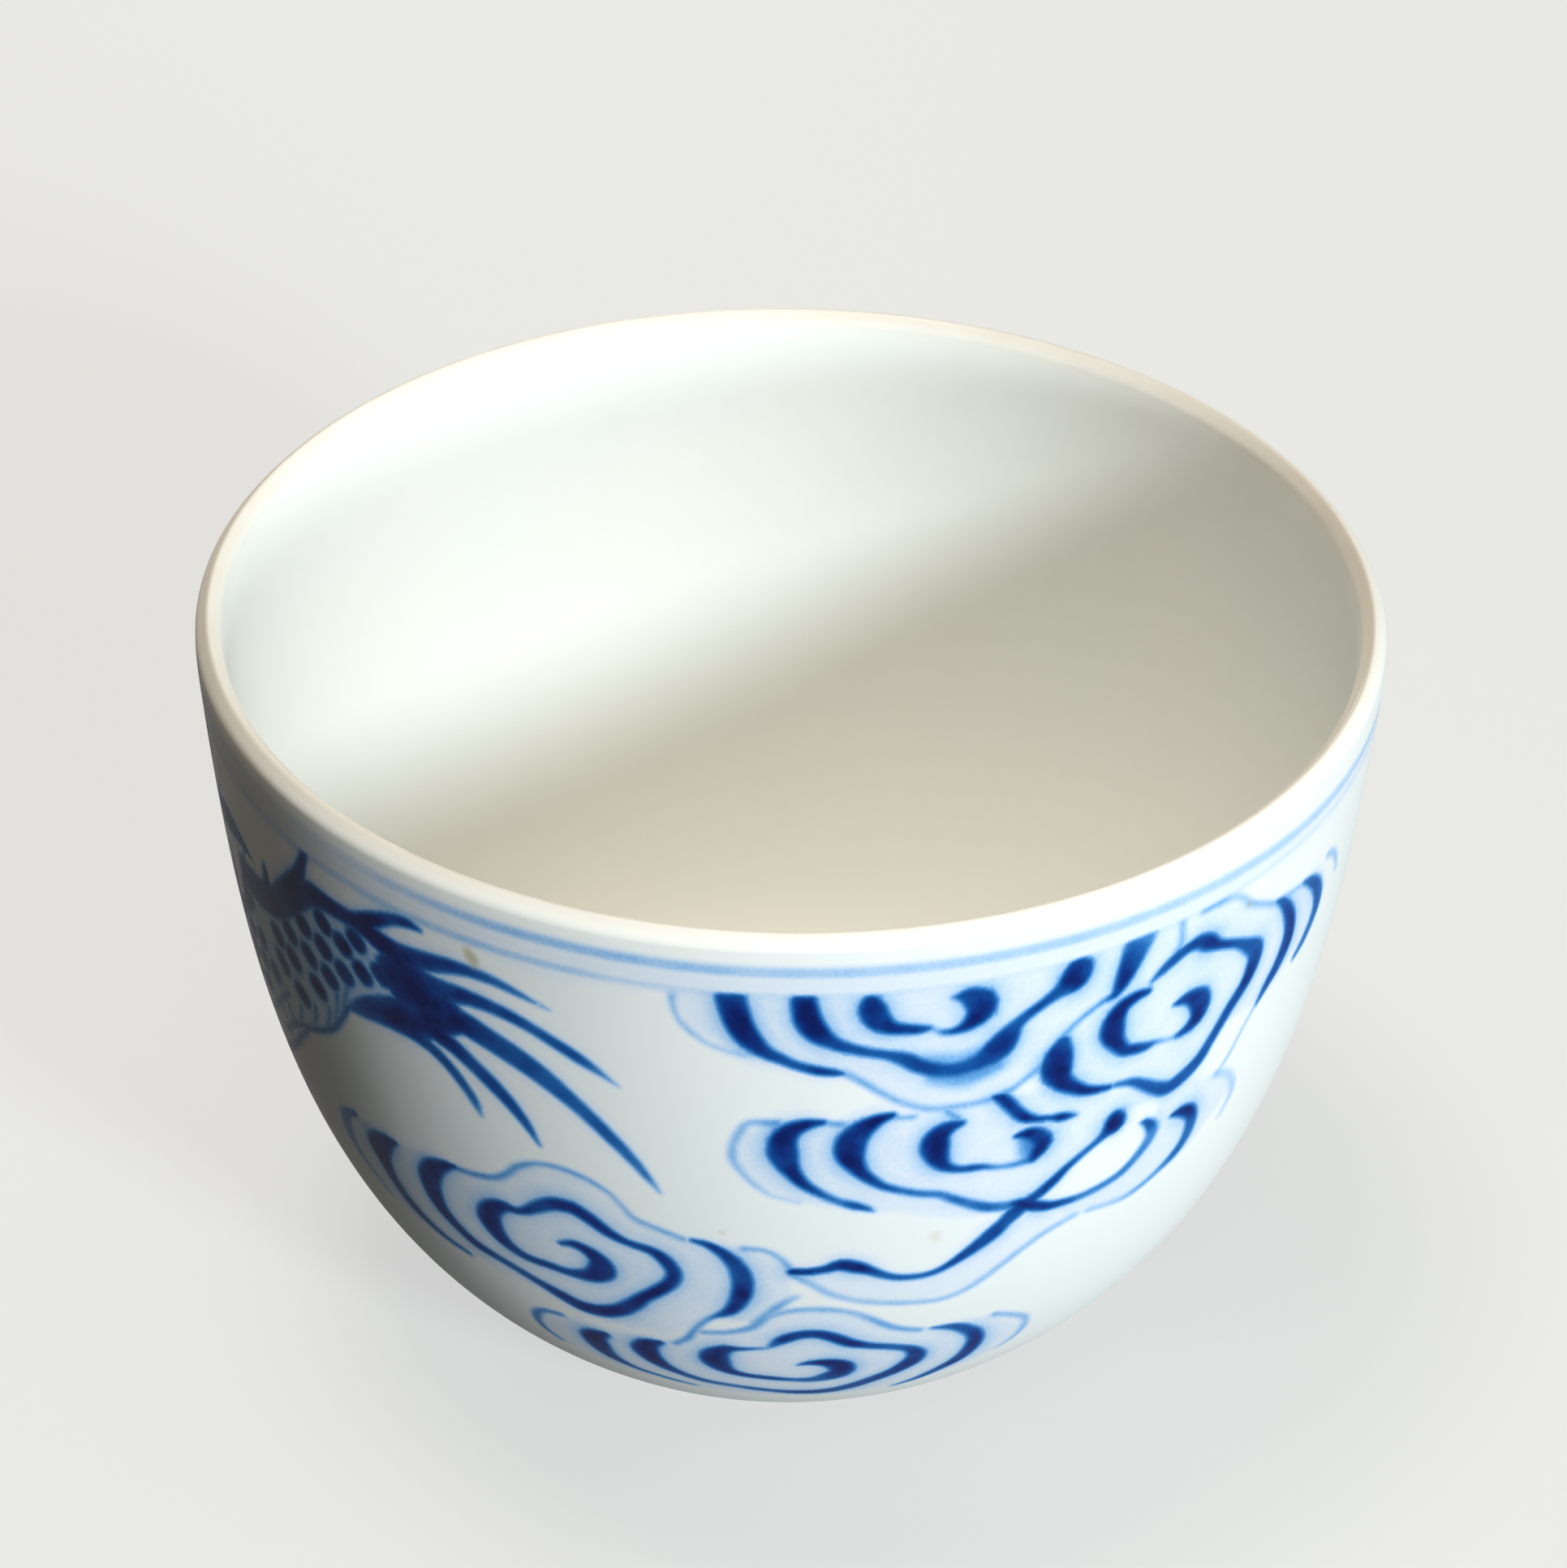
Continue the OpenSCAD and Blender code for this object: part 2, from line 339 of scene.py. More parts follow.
CLOUD_2 = [
    [(33.2, 5.2, 1.25, .42), (32.8, 6.1, 1.1, .6), (32.3, 7.2, .85, .85), (31.65, 8.5, .6, .95),
     (31, 9.4, .3, .8), (29.9, 9.6, .2, .45), (28.7, 10.05, .2, .35), (27.1, 10.8, .2, .3),
     (25.7, 11.8, .2, .25)],
    [(38, 5.3, .25, .25), (38.2, 7.2), (37.6, 7.9)],
    [(35.25, 9.5, .2, .5), (36.3, 8.95, .35, .7), (37.9, 8.3, .45, .8), (39.45, 7.98, .42),
     (40.7, 7.98, .55, .9), (41.95, 8.5, .62, 1), (43.2, 9.15, .38, .9), (44.75, 9.7, .3, .8),
     (46.6, 10.4, .35, .75), (48.2, 11.25, .55), (49.6, 12.2, .8, .8), (49.6, 13.5, .75, .85),
     (48.8, 14.8, .6, .9), (47.25, 16, .55, .85), (46, 17.2, .5, .75), (44.7, 18.5, .5, .7),
     (43.5, 19.7, .6, .8), (41.9, 20.4, .65), (39.75, 20.8, .6), (38.2, 20.3, .5), (36.3, 19.3, .4, .75),
     (34.5, 18.4, .3, .65), (32.6, 18.05, .2, .5)],
    [(25.9, 12.3, .55, .8), (25.6, 13.5, 1.05, 1), (25.6, 14.6, 1.1), (26.2, 15.7, .75), (27.3, 16.55, .55),
     (28.7, 17.3, .42, .95), (30.1, 17.75, .32, .9), (31.95, 18.05, .2, .7)],
    [(34.9, 10.3, .25, .9), (33.5, 10.35, .42, 1), (32.1, 10.8, .6), (31.3, 11.8, .85), (31.3, 12.85, .9),
     (31.95, 13.95, .62), (33.05, 14.95, .45, .95), (34.45, 15.3, .4, .9), (35.7, 15.5, .32, .8),
     (36.8, 15.5, .18, .5), (38.2, 15.8, .12, .3), (39.6, 15.9, .15, .4)],
    [(38.5, 12.7, .12, .7), (39, 12.7, .25, .8), (40.4, 12.75, .55, .85), (41.8, 13.4, .9),
     (42.25, 14.4, .85, .9), (41.8, 15.25, .65), (40.7, 15.75, .4, .8), (39.6, 15.9, .25, .6)],
    [(51.9, 8.95, .15, .5), (53.15, 9.5, .35, .75), (54.4, 10.6, .5, .85), (55.3, 11.8, .6),
     (55.8, 13.1, .68), (55.65, 14.4, .75), (54.7, 15.7, .65, .8), (53.15, 16.9, .45, .7),
     (51.9, 18.1, .2, .5)],
    [(57.2, 9.6, .2, .5), (58.45, 10.05, .35, .7), (60, 10.9, .5, .75), (61.25, 12, .62, .7),
     (61.9, 13.3, .7, .65), (61.6, 14.6, .6), (60.3, 15.9, .5, .6), (58.45, 16.8, .3, .5)],
    [(62.5, 9.6, .3, .25), (64.05, 10.15), (65.6, 11.35), (66.5, 12.65, .3, .2)],
    [(40.7, 5.3, .25, .25), (43.5, 5.45), (45.7, 6), (47.5, 7.2), (50, 8.3), (51.9, 9),
     (54.4, 9.3, .2, .22), (57.2, 9.6, .2, .25)],
    [(51.6, 18.2, .2, .25), (50, 19.8), (48.8, 21.3), (47.5, 22.4, .2, .2)],
]
CLOUD_3 = [
    [(-.83, 16.3, .28, .3), (-3.3, 16.4), (-4.25, 17.25), (-4.9, 18.55), (-4.95, 19.85),
     (-4.25, 20.95, .25, .27), (-3, 22.25, .22, .24), (-1.15, 23.35, .2, .2), (1.35, 24, .18, .15)],
    [(3.45, 16.25, .2, .8), (1.95, 16.4, .42, 1), (.55, 16.95, .65), (-.2, 17.9, .85), (-.28, 19.1, .95),
     (.15, 20.2, .75, .95), (.8, 21.15, .52), (1.65, 22.05, .4), (2.75, 22.8, .32, .85),
     (4.15, 23.55, .28, .65), (5.4, 24.1, .27, .6), (6.65, 24.5, .3, .85), (7.75, 24.85, .22, .8),
     (8.5, 25.2, .1, .5)],
    [(9.75, 16, .25, .9), (8.5, 16.3, .45, 1), (7.1, 17.05, .75), (6.2, 18, .95, .95), (5.95, 19.1, .98),
     (6.35, 20.2, .7, 1), (7.25, 21.3, .45, .95), (8.35, 22.15, .35), (9.45, 22.8, .28, .85),
     (11, 23.35, .26, .6), (12.9, 23.9, .26, .55), (15.05, 24.35, .28), (16.6, 25.1, .3, .65),
     (18.2, 25.85, .35), (20.05, 26.6, .38), (21.9, 26.95, .4, .55), (23.5, 27.05, .4, .6)],
    [(16.45, 17.6, .25, .85), (15.35, 17.8, .5, 1), (14.25, 18.45, .8), (14.05, 19.55, .95),
     (14.45, 20.65, .7), (15.2, 21.5, .42, .9), (16.6, 22.05, .28, .75), (18, 22.2, .28, .85),
     (19.1, 22.3, .22, .7), (20.65, 22.65, .2, .45), (22.5, 22.8, .25), (24.1, 22.75, .28, .5)],
    [(22.2, 20, .15, .8), (23.3, 19.98, .38, .95), (24.55, 20.5, .6, .9), (25.2, 21.4, .65, 1),
     (24.7, 22.25, .45, .95), (24.25, 22.75, .3, .7)],
    [(19.5, 15.75, .2, .8), (20.35, 16.05, .42, .9), (21.45, 17.15, .42, .92), (22.7, 18.25, .4, .95),
     (24.1, 18.8, .25, .85), (25.5, 19.05, .2, .8), (26.9, 19.35, .33, .95), (28.4, 19.6, .12, .5)],
    [(.9, 31.5, .35, .9), (2.6, 31.5), (4.45, 31.2, .4, .85), (5.7, 30.85, .55, .95), (7.25, 31.2, .55, 1),
     (8.8, 31.8, .4, .9), (10.4, 32.5, .32, .75), (12, 32.95, .3, .7), (14.3, 33.1), (16, 32.8, .3, .75),
     (17.6, 32.05, .35, .85), (19.8, 30.75, .55), (21.35, 29.65, .65, .9), (22.4, 28.8, .6, .8),
     (23.5, 27.9, .7), (24.9, 27.05, .5, .85), (26, 26.5, .45, .9), (27.3, 25.65, .42),
     (28.5, 24.75, .33, .75), (30.05, 23.9, .3, .6), (31.6, 23.15, .32, .65), (32.7, 22.5, .5, .8),
     (33.35, 22.05, .85, 1), (33.3, 21.5, .7, .9), (33.2, 21.05, .35, .6)],
    [(23, 26.95, .3, .8), (24.15, 27.25, .5, .95), (25.4, 27.8, .48, 1), (26.95, 28.3, .4),
     (28.5, 28.5, .35, .85), (30.7, 28.55, .32, .55), (33.2, 28.35, .35, .5), (35.7, 27.8, .38, .55),
     (37.4, 26.7, .42, .5), (38.5, 25.5, .5), (38.75, 24.65, .5, .6), (38.2, 23.8, .38, .85),
     (37.4, 23.25, .25, .7), (36.9, 23.1, .12, .5)],
    [(41.3, 24.15, .15, .7), (42.5, 24.25, .42, .95), (43.8, 24.75, .55, 1), (44.55, 25.5, .5, .85),
     (44.85, 26.6, .55, .65), (44.55, 27.9, .52, .6), (43.45, 29, .45, .55), (41.9, 29.75, .35, .45),
     (39.7, 30.6, .3, .35), (37.55, 31.05, .3, .3), (35.05, 30.95, .25, .22), (32.6, 30.6, .25, .2)],
    [(47.2, 22.5, .35, .2), (48.75, 23.15), (50, 24), (51.1, 25.3), (51.25, 26.6), (50.3, 28.1, .3, .15)],
    [(1, 32, .3, .25), (3, 33.2), (5, 34.4), (8.2, 35.5), (12, 36.2), (14.5, 36.5), (17, 36.6),
     (19.5, 36.05), (21.65, 34.9), (23.5, 33.7), (25.4, 32.5), (27.6, 31.4), (30.7, 30.6, .3, .2)],
    [(14.9, 16.2, .2, .3), (16, 17.05)],
    [(9.5, 16.2, .15, .3), (11.8, 16.35)],
    [(3.5, 16.3, .2, .3), (5.1, 16.5)],
]
CLOUD_4 = [
    [(-34.5, 27.8, .25, .4), (-32.5, 27.55), (-30.1, 27), (-28.35, 26.05), (-27, 24.9), (-25, 24, .25, .38),
     (-22.6, 23.65, .25, .36), (-19.8, 23.95, .25, .34), (-17.4, 24.9, .25, .32), (-16, 26.05, .25, .3),
     (-14.8, 27.15), (-12.6, 27.8), (-10.05, 28.55)],
    [(-35, 27.75, .2, .9), (-36.3, 28.1, .42, 1), (-38.1, 29.1, .8), (-39.3, 30.6, .95), (-39.5, 32.3, .87),
     (-38.9, 33.95, .68, .95), (-37.3, 35.35, .55, .9), (-35.3, 36.45, .48), (-33.1, 36.95, .42, .8),
     (-30.15, 37.6, .4, .75), (-27.4, 38.4, .45), (-25, 39.2, .6, .85), (-23, 39.85, .68, .95),
     (-20.6, 39.8, .7), (-18.2, 38.95, .65), (-16.4, 37.7, .6), (-14.8, 36.3, .5), (-13.05, 35.05),
     (-11.65, 33.8, .5, .9), (-11.25, 32.55), (-12.05, 31.3), (-13.4, 30.45, .4), (-15.8, 30, .32, .85),
     (-17.8, 29.3, .45, .9), (-19.6, 28.25, .55), (-21.4, 27.55, .6, .95), (-23.4, 27.7, .58),
     (-25.2, 28.5, .5, .9), (-26.55, 29.3, .38), (-27.95, 29.85, .3, .85), (-29.55, 29.9, .5, .95),
     (-31.15, 30.75, .75, 1), (-31.95, 32.15, .95), (-31.4, 33.55, .8, .95), (-30.15, 34.65, .55, .9),
     (-28.15, 35.3, .4, .85), (-25.4, 35.35, .38), (-23, 35.45, .42), (-20.6, 35.05, .7, .95),
     (-19.2, 34.1, .95, 1), (-19.2, 32.95, .75), (-20.4, 32.05, .5, .95), (-22, 31.7, .35, .85),
     (-23.4, 32.05, .18, .7)],
    [(-43.6, 28.9, .2, .9), (-45, 29.4, .6, 1), (-46.5, 30.3, 1.05), (-47.2, 31.3, 1.1), (-47, 32.7, .75),
     (-46.4, 34.2, .58, .95), (-45.2, 35.7, .55, .9), (-43.3, 37, .48, .8), (-40.5, 38.1, .4, .65),
     (-37.3, 38.65, .3, .5)],
    [(-50.2, 28.95, .25, .6), (-52.4, 30.05, .5, .5), (-53.4, 31.7, .65, .42), (-53.2, 33.65, .6, .36),
     (-51.6, 35.35, .5, .3), (-48.85, 37, .35, .25)],
    [(-9.05, 28.6, .2, .6), (-7.45, 28.95, .3, .85), (-5.85, 29.9, .45, .9), (-4.7, 31.15, .6),
     (-4.2, 32.7, .68), (-4.3, 34.2, .65, .95), (-4.9, 35.75, .55, .9), (-5.85, 36.85, .4, .8),
     (-7.45, 37.7, .22, .5), (-8.65, 38.65, .25, .4), (-9.85, 40.05), (-10.85, 41.45),
     (-12.25, 42.55, .25, .35)],
    [(-3.95, 29, .25, .3), (-1.8, 29.2), (-.2, 30.1), (.7, 31.2)],
    [(1.45, 34.55, .25, .2), (.05, 35.4, .3, .28), (-1.75, 37.05, .35, .34), (-3.3, 38.7),
     (-4.9, 39.4, .3, .3)],
]
CLOUD_5 = [
    [(-14.3, 42.9, .3, .9), (-15.9, 43.6, .75, 1), (-16.5, 44.95, .95), (-15.9, 46.35, .8, .95),
     (-14.7, 47.6, .6, .85), (-12.5, 48.85, .4, .75), (-9.75, 49.85, .4, .65), (-6.15, 50.4, .4, .6),
     (-2.2, 51.1, .4, .65), (1.8, 51.7, .5, .75), (5.8, 51.65, .6, .85), (8.95, 50.65),
     (11.75, 49.15, .6, .9), (14.15, 47.75, .65), (15.75, 46.2, .75, .95), (16.05, 44.85, .65),
     (14.95, 43.6, .42, .85), (12.55, 42.75, .4, .7), (9.75, 42.05, .4, .75), (7.55, 41.35, .5, .95),
     (5.8, 40.4, .52, .9), (3.8, 39.7, .5), (1.8, 39.8), (0, 40.55, .48, .95), (-1.2, 41.5, .25, .6),
     (-1.8, 41.9, .15, .35), (-4.55, 42.25, .2, .8), (-6.35, 42.45, .5, 1), (-7.75, 43.45, .9),
     (-7.95, 44.7, 1), (-7.35, 45.95, .75, .95), (-5.95, 46.9, .45, .9), (-3.75, 47.45, .35, .85),
     (-1.4, 47.75, .35, .8), (1, 48.05, .35, .6), (3.8, 48.1, .5, .7), (6.2, 47.3, .8, .9),
     (7.2, 46.5, .85, 1), (6.8, 45.25), (5, 44.55, .55, .95), (3, 44.55, .3, .85), (2, 44.85, .12, .6)],
    [(-21.3, 43.7, .4, .85), (-22.9, 44.55, .9, 1), (-23.05, 45.95, .95), (-22.5, 47.5, .75, .95),
     (-21.3, 48.7, .5, .85), (-19.3, 49.8, .35, .7), (-16.1, 50.7, .3, .55), (-12, 51.7, .25, .4)],
    [(-26.45, 42.45, .3, .4), (-28.85, 42.9, .3, .5), (-30.4, 44, .35, .55), (-31.05, 45.4, .35, .5),
     (-30.8, 46.8, .3), (-29.4, 48.4, .25, .35)],
    [(16.9, 40.65, .15, .5), (19.3, 41.1, .38, .75), (21.3, 42.05, .5, .85), (22.9, 43.45, .55, .9),
     (23.5, 45.1, .62), (23.3, 46.8, .65), (22.3, 48.45, .6, .85), (20.5, 49.8, .5, .8),
     (18.5, 51.2, .4, .7), (15.5, 52.6, .25, .4)],
    [(24.5, 40.8, .3, .3), (26.85, 41.8), (29.25, 43.15), (30.25, 44.85), (30.05, 46.5),
     (28.6, 48.4, .25, .2)],
    [(-3, 38.15, .3, .3), (-1.4, 37.05), (1, 36.35), (3.8, 36.2), (6.6, 36.65), (8.95, 37.6), (10.55, 38.6),
     (12.55, 39.7), (15.35, 40.55)],
    [(-8.95, 40.1, .3, .3), (-6.55, 39.8), (-4.55, 39.3)],
]
TAIL = [
    [(-41, 8.6, .9, 1), (-38, 9, 1, .95), (-34.5, 8.4, .75), (-31, 7.8, .5, .88), (-28, 7.75, .4, .75),
     (-25.5, 8.1, .3, .6), (-21.8, 8.9, .1, .3)],
    [(-38.2, 9.8, 1.2, .95), (-36.5, 10.5, 1.4), (-34, 10.6, 1.1), (-30.5, 10.15, .65, .9),
     (-27, 10.3, .5, .8), (-24, 10.9, .42, .75), (-21, 11.9, .42, .72), (-19, 12.7, .4, .7),
     (-17, 13.6, .25, .5), (-15.5, 14.4, .1, .3)],
    [(-46, 16.9, .35, .6), (-43.5, 15.9, .9, .8), (-41, 15.2, 1.25, .9), (-38, 14.6, 1.6, 1), (-35.5, 13.8),
     (-33.5, 13, 1.4), (-31.3, 12.6, 1.05, .95), (-28.5, 13.2, .95, .85), (-25.5, 14.1, .9, .78),
     (-22.8, 15.2, .8, .75), (-20, 16.8, .6, .72), (-17.5, 18.6, .5, .7), (-15, 20.7, .42, .65),
     (-13, 22.8, .25, .5), (-12, 24, .1, .35)],
    [(-39, 10.9, 1.5, 1), (-36.8, 12, 2), (-34.5, 12, 1.7), (-32.5, 11.9, 1, .95)],
    [(-34.5, 14.6, .8, 1), (-32.5, 15.2, .7, .9), (-30.5, 16.2, .6, .85), (-28.6, 17.3),
     (-26.8, 18.6, .5, .8), (-25.2, 20.2, .35, .75), (-24, 21.9, .12, .45)],
    [(-39, 15.5, .8, .95), (-37, 15.8, .6, .9), (-35.3, 16.3, .5, .8), (-33.5, 17.2, .45, .75),
     (-31.8, 18.6, .4, .7), (-30.8, 19.8, .35, .6), (-30.3, 20.9, .15, .35)],
]
# Upper edge of the body near the tail, with its two spikes, and its lower edge
BODY_EDGE = [
    [(-66, 14.2, 1.4, .9), (-61, 13.6, 1.3), (-57.5, 12.6, 1.2, .95), (-54, 10.3, 1.3, 1), (-50.5, 8.6, 1),
     (-46.5, 8.3, .7), (-43, 8.3, .75), (-40.5, 8.7, .8)],
    [(-53.5, 9.6, 1.1, 1), (-52, 7.8, .65), (-51, 6.3, .45, .97), (-50.3, 5.2, .36, .9),
     (-50, 4.6, .3, .7)],
    [(-43.5, 8.2, .7, 1), (-41, 7.1, .6), (-38.5, 6.1, .45, .95), (-36.5, 5.75, .35, .9),
     (-35, 5.85, .15, .6)],
    [(-60, 13, .8, .9), (-59.4, 11.7, .5), (-59.3, 10.7, .35, .85), (-59.4, 10.2, .2, .6)],
    [(-46.5, 17, .25, .7), (-48.3, 19, .25, .65), (-49.8, 20.4, .25, .6), (-52, 21.7), (-55.5, 23.2),
     (-60, 25), (-64, 27.6)],
    [(-46, 14.8, .16, .4), (-46.6, 16), (-47.6, 17.6, .16, .35)],
    [(-48.2, 16.7, .16, .4), (-48.6, 18), (-49.4, 19.6, .16, .35)],
    [(-50.1, 18.8, .16, .4), (-50.6, 20), (-51.5, 21.2, .16, .35)],
    [(-52.9, 19.9, .16, .4), (-53.4, 21.1), (-54.3, 22.3, .16, .35)],
    [(-56.6, 21.6, .16, .4), (-57.1, 22.7), (-58, 23.9, .16, .35)],
]
SCALES_NEAR_TAIL = [
    (-40.7, 11.8), (-43.7, 9.9), (-43.4, 12.7), (-45.9, 11.2), (-46.3, 13.9), (-48.7, 10.4), (-49.3, 12.9),
    (-49, 15.4), (-52.5, 12.3), (-52.3, 14.9), (-51.6, 17.5), (-55.7, 14.4), (-55.9, 16.9), (-55.5, 20),
    (-59, 18.7), (-58.9, 16.2),
]
SCALE_R = 0.76
SCALES = [
    [(a - 0.25, s - 0.15, SCALE_R, .97), (a + 0.25, s + 0.15, SCALE_R, .97)] for a, s in SCALES_NEAR_TAIL
]
RIM_LINES = [
    [(-180, 3.3, .38, .16), (-150, 3.2, .4, .18), (-120, 3.1, .4, .16), (-90, 3, .5, .12), (-60, 3, .6, .1),
     (-45, 3, .55, .12), (-37, 3, .42, .2), (-30, 3, .4, .28), (-20, 3, .42, .3), (-8, 3.1, .42, .28),
     (0, 3.15, .44, .26), (10, 3.2, .44, .25), (20, 3.25, .45), (40, 3.45, .46, .23), (60, 3.8, .46, .22),
     (90, 3.7, .42, .2), (120, 3.5, .38, .18), (150, 3.4, .36, .16), (180, 3.3, .38)],
    [(-180, 5, .28, .16), (-120, 5, .3, .2), (-60, 5, .42, .16), (-35, 5, .36, .25), (-20, 5, .33, .23),
     (-8, 5, .3, .17), (20, 5.05, .3, .13), (60, 5.1), (120, 5, .28), (180, 5, .28, .16)],
    [(a, 4.1, .8, .09) for a in (-180, -90, -40, 0, 40, 90, 180)],
]
# Small marks of iron in the glaze: angle, distance down, half width and strength
SPECKS = [
    [(-29.7, 6.05, .38, .6), (-29.35, 6.5, .45, .7), (-29.2, 6.9, .36, .55)],
    [(15, 28.6, .35, .2), (15.2, 29.2, .3, .15)],
    [(47.2, 7.1, .14, .5), (47.3, 7.3, .12, .5)], [(-6.2, 27.4, .1, .3), (-6.1, 27.5, .1, .3)],
    [(137, 33, .25, .6), (137.3, 33.3, .2, .5)], [(-92, 44, .15, .5), (-91.8, 44.2, .12, .5)],
]
# Strokes of thin blue that spread into the glaze round them
HALOS = [
    [(13.5, 13.1, .5, .3), (16.5, 13.4, .7, .35), (19.5, 12.9, .5, .3)],
    [(11.5, 11.2, .4, .2), (15, 11.6, .6, .25), (18.5, 11.3, .4, .2)],
    [(23.1, 20.3, .4, .35), (23.6, 21.5, .6, .4), (24.1, 22.4, .4, .3)],
]
# Outlines of the clouds and the body, inside which the ground is washed with thin blue
WASHES = [
    (.1, [(-9.8, 5.4), (-9, 8.2), (-4, 10.2), (1, 11.4), (5.3, 12), (8.7, 13.9), (12.8, 15.5),
          (18.4, 15.7), (22.8, 14.3), (24.6, 12.8), (24.6, 15.5), (27, 17.5), (32, 18.4), (36.5, 19.8),
          (40, 21.2), (43.5, 20.4), (47, 17.5), (52, 18), (56, 16.5), (61, 15.8), (63, 12.5), (60, 9.8),
          (52, 9), (47.5, 7.2), (43, 5.4)]),
    (.1, [(-1, 16.3), (-4, 17.3), (-4.8, 19.5), (-3, 22.2), (2, 24.1), (8.5, 25.3), (13, 26.2),
          (17, 27.2), (23, 27.5), (27, 25.8), (31.5, 23), (33.4, 21), (38.5, 21.3), (39, 25), (35, 28),
          (28, 29), (30, 31), (40, 30.8), (46, 29), (51, 25.5), (47.5, 22.5), (41, 20.5), (32, 18.4),
          (26, 16), (20, 16), (10, 16)]),
    (.08, [(1, 32), (5, 34.2), (12, 36.2), (19.5, 36), (25.4, 32.5), (30.7, 30.6), (26, 28), (20, 31),
          (14, 33.3), (7, 31.5)]),
    (.1, [(-50, 29), (-53, 32), (-51, 35.5), (-45, 38), (-36, 38.5), (-27, 39.5), (-21, 41), (-13, 41.5),
          (-8, 38), (-3, 38), (1, 34.5), (0, 30.5), (-4, 29), (-10, 28.7), (-15, 27.2), (-20, 24),
          (-26, 24.3), (-30, 27), (-36, 27.8), (-43, 28.5)]),
    (.1, [(-27, 42.5), (-31, 45), (-29, 48.5), (-20, 51), (-9, 52.5), (6, 53), (18, 52), (28, 48.8),
          (30.2, 45), (24.5, 40.8), (15, 40.5), (9, 37.7), (3.8, 36.3), (-1.4, 37.1), (-5, 39.4),
          (-9, 40.2), (-14, 42.3)]),
    (.14, [(-38.6, 11.5), (-43, 9), (-50, 9), (-57, 13), (-66, 15), (-66, 27), (-56, 23.2), (-50, 20.4),
          (-46.5, 17), (-44, 14.6), (-39.5, 13.4)]),
]


def filled(points):
    """Points with all four values. One that leaves out its last ones has those of the point before."""
    full = [points[0]]
    for point in points[1:]:
        full.append((*point, *full[-1][len(point):]))
    return full


def heading_of(path):
    """Millimetres for each degree at the points of a path, and its direction there in millimetres."""
    mm = np.radians(wall_radius(path[:, 1]))
    return mm, unit(np.gradient(path[:, :2], axis=0) * np.stack([mm, np.ones(len(path))], axis=1))


def brushed(points, step=BRUSH_STEP):
    """Points close together along the smooth path of a stroke, as rows of the same four values."""
    p = np.array(filled(points), float)
    ends = np.concatenate([[2 * p[0] - p[1]], p, [2 * p[-1] - p[-2]]])
    rows = [p[:1]]
    for a, b, c, d in zip(ends, ends[1:], ends[2:], ends[3:]):
        length = math.hypot(math.radians(c[0] - b[0]) * wall_radius(b[1]), c[1] - b[1])
        t = steps(max(1, math.ceil(length / step)))[1:, None]
        rows.append(0.5 * (2 * b + (c - a) * t + (2 * a - 5 * b + 4 * c - d) * t ** 2
                           + (3 * b - a - 3 * c + d) * t ** 3))
    path = np.concatenate(rows)
    path[:, 3] = np.clip(path[:, 3], 0, 1)
    path[:, 2] = np.maximum(path[:, 2], LEAST_HALF_W) + INK_SPREAD * (INK_SPREAD_FROM - path[:, 3])
    return path


# The side away from the front isn't in the photograph. It carries on the dragon and the clouds.
# Middle of the dragon's body from the tail to the neck: angle, distance down the wall, half width
BODY_PATH = [
    (-39, 11.8, 2.2), (-46, 13, 3.6), (-54.5, 16.3, 4.8), (-62, 20.5, 5.2), (-70, 25.5, 5.5),
    (-80, 29.5, 5.7), (-91, 30, 5.9), (-101, 26.5, 6), (-109, 21, 6), (-118, 16.5, 6), (-129, 14.8, 6),
    (-140, 17, 6), (-149, 22.5, 5.9), (-158, 28.5, 5.7), (-169, 31.5, 5.4), (-180, 29.5, 5),
    (-189, 24, 4.6), (-197, 18.5, 4.2), (-204, 16, 3.8),
]
# The body beyond this share of its length is out of the photograph's view
BODY_SEEN_SHARE = 0.135
# Steps along the body, in millimetres
EDGE_STEP = 1.5
SPIKE_STEP = 4.6
SCALE_STEP = 2.3
SEGMENT_STEP = 2.7


def wisp(x, y, length, heading, bend, half, strength=0.92):
    """A tapering curved stroke, as of hair, claws and flames, in millimetres from a drawing's own middle.

    Heading is in degrees from right towards down, and bend is how far it turns over the length.
    """
    points = [(x, y, half, strength)]
    for share in (0.25, 0.5, 0.75, 1):
        a = math.radians(heading + bend * (share - 0.125))
        x, y = x + length / 4 * math.cos(a), y + length / 4 * math.sin(a)
        points.append((x, y, max(0.08, half * (1 - share ** 1.4)), strength * (1 - 0.25 * share)))
    return points


def claw(x, y, heading):
    """A paw with four long claws and a spur."""
    toes = [wisp(x, y, 4.6, heading + turn, bend, 0.55)
            for turn, bend in ((-62, -45), (-22, -30), (18, 28), (58, 45), (150, 40))]
    return toes + [[(x - 0.3, y, 0.95, .9), (x + 0.3, y, 0.95, .9)]]


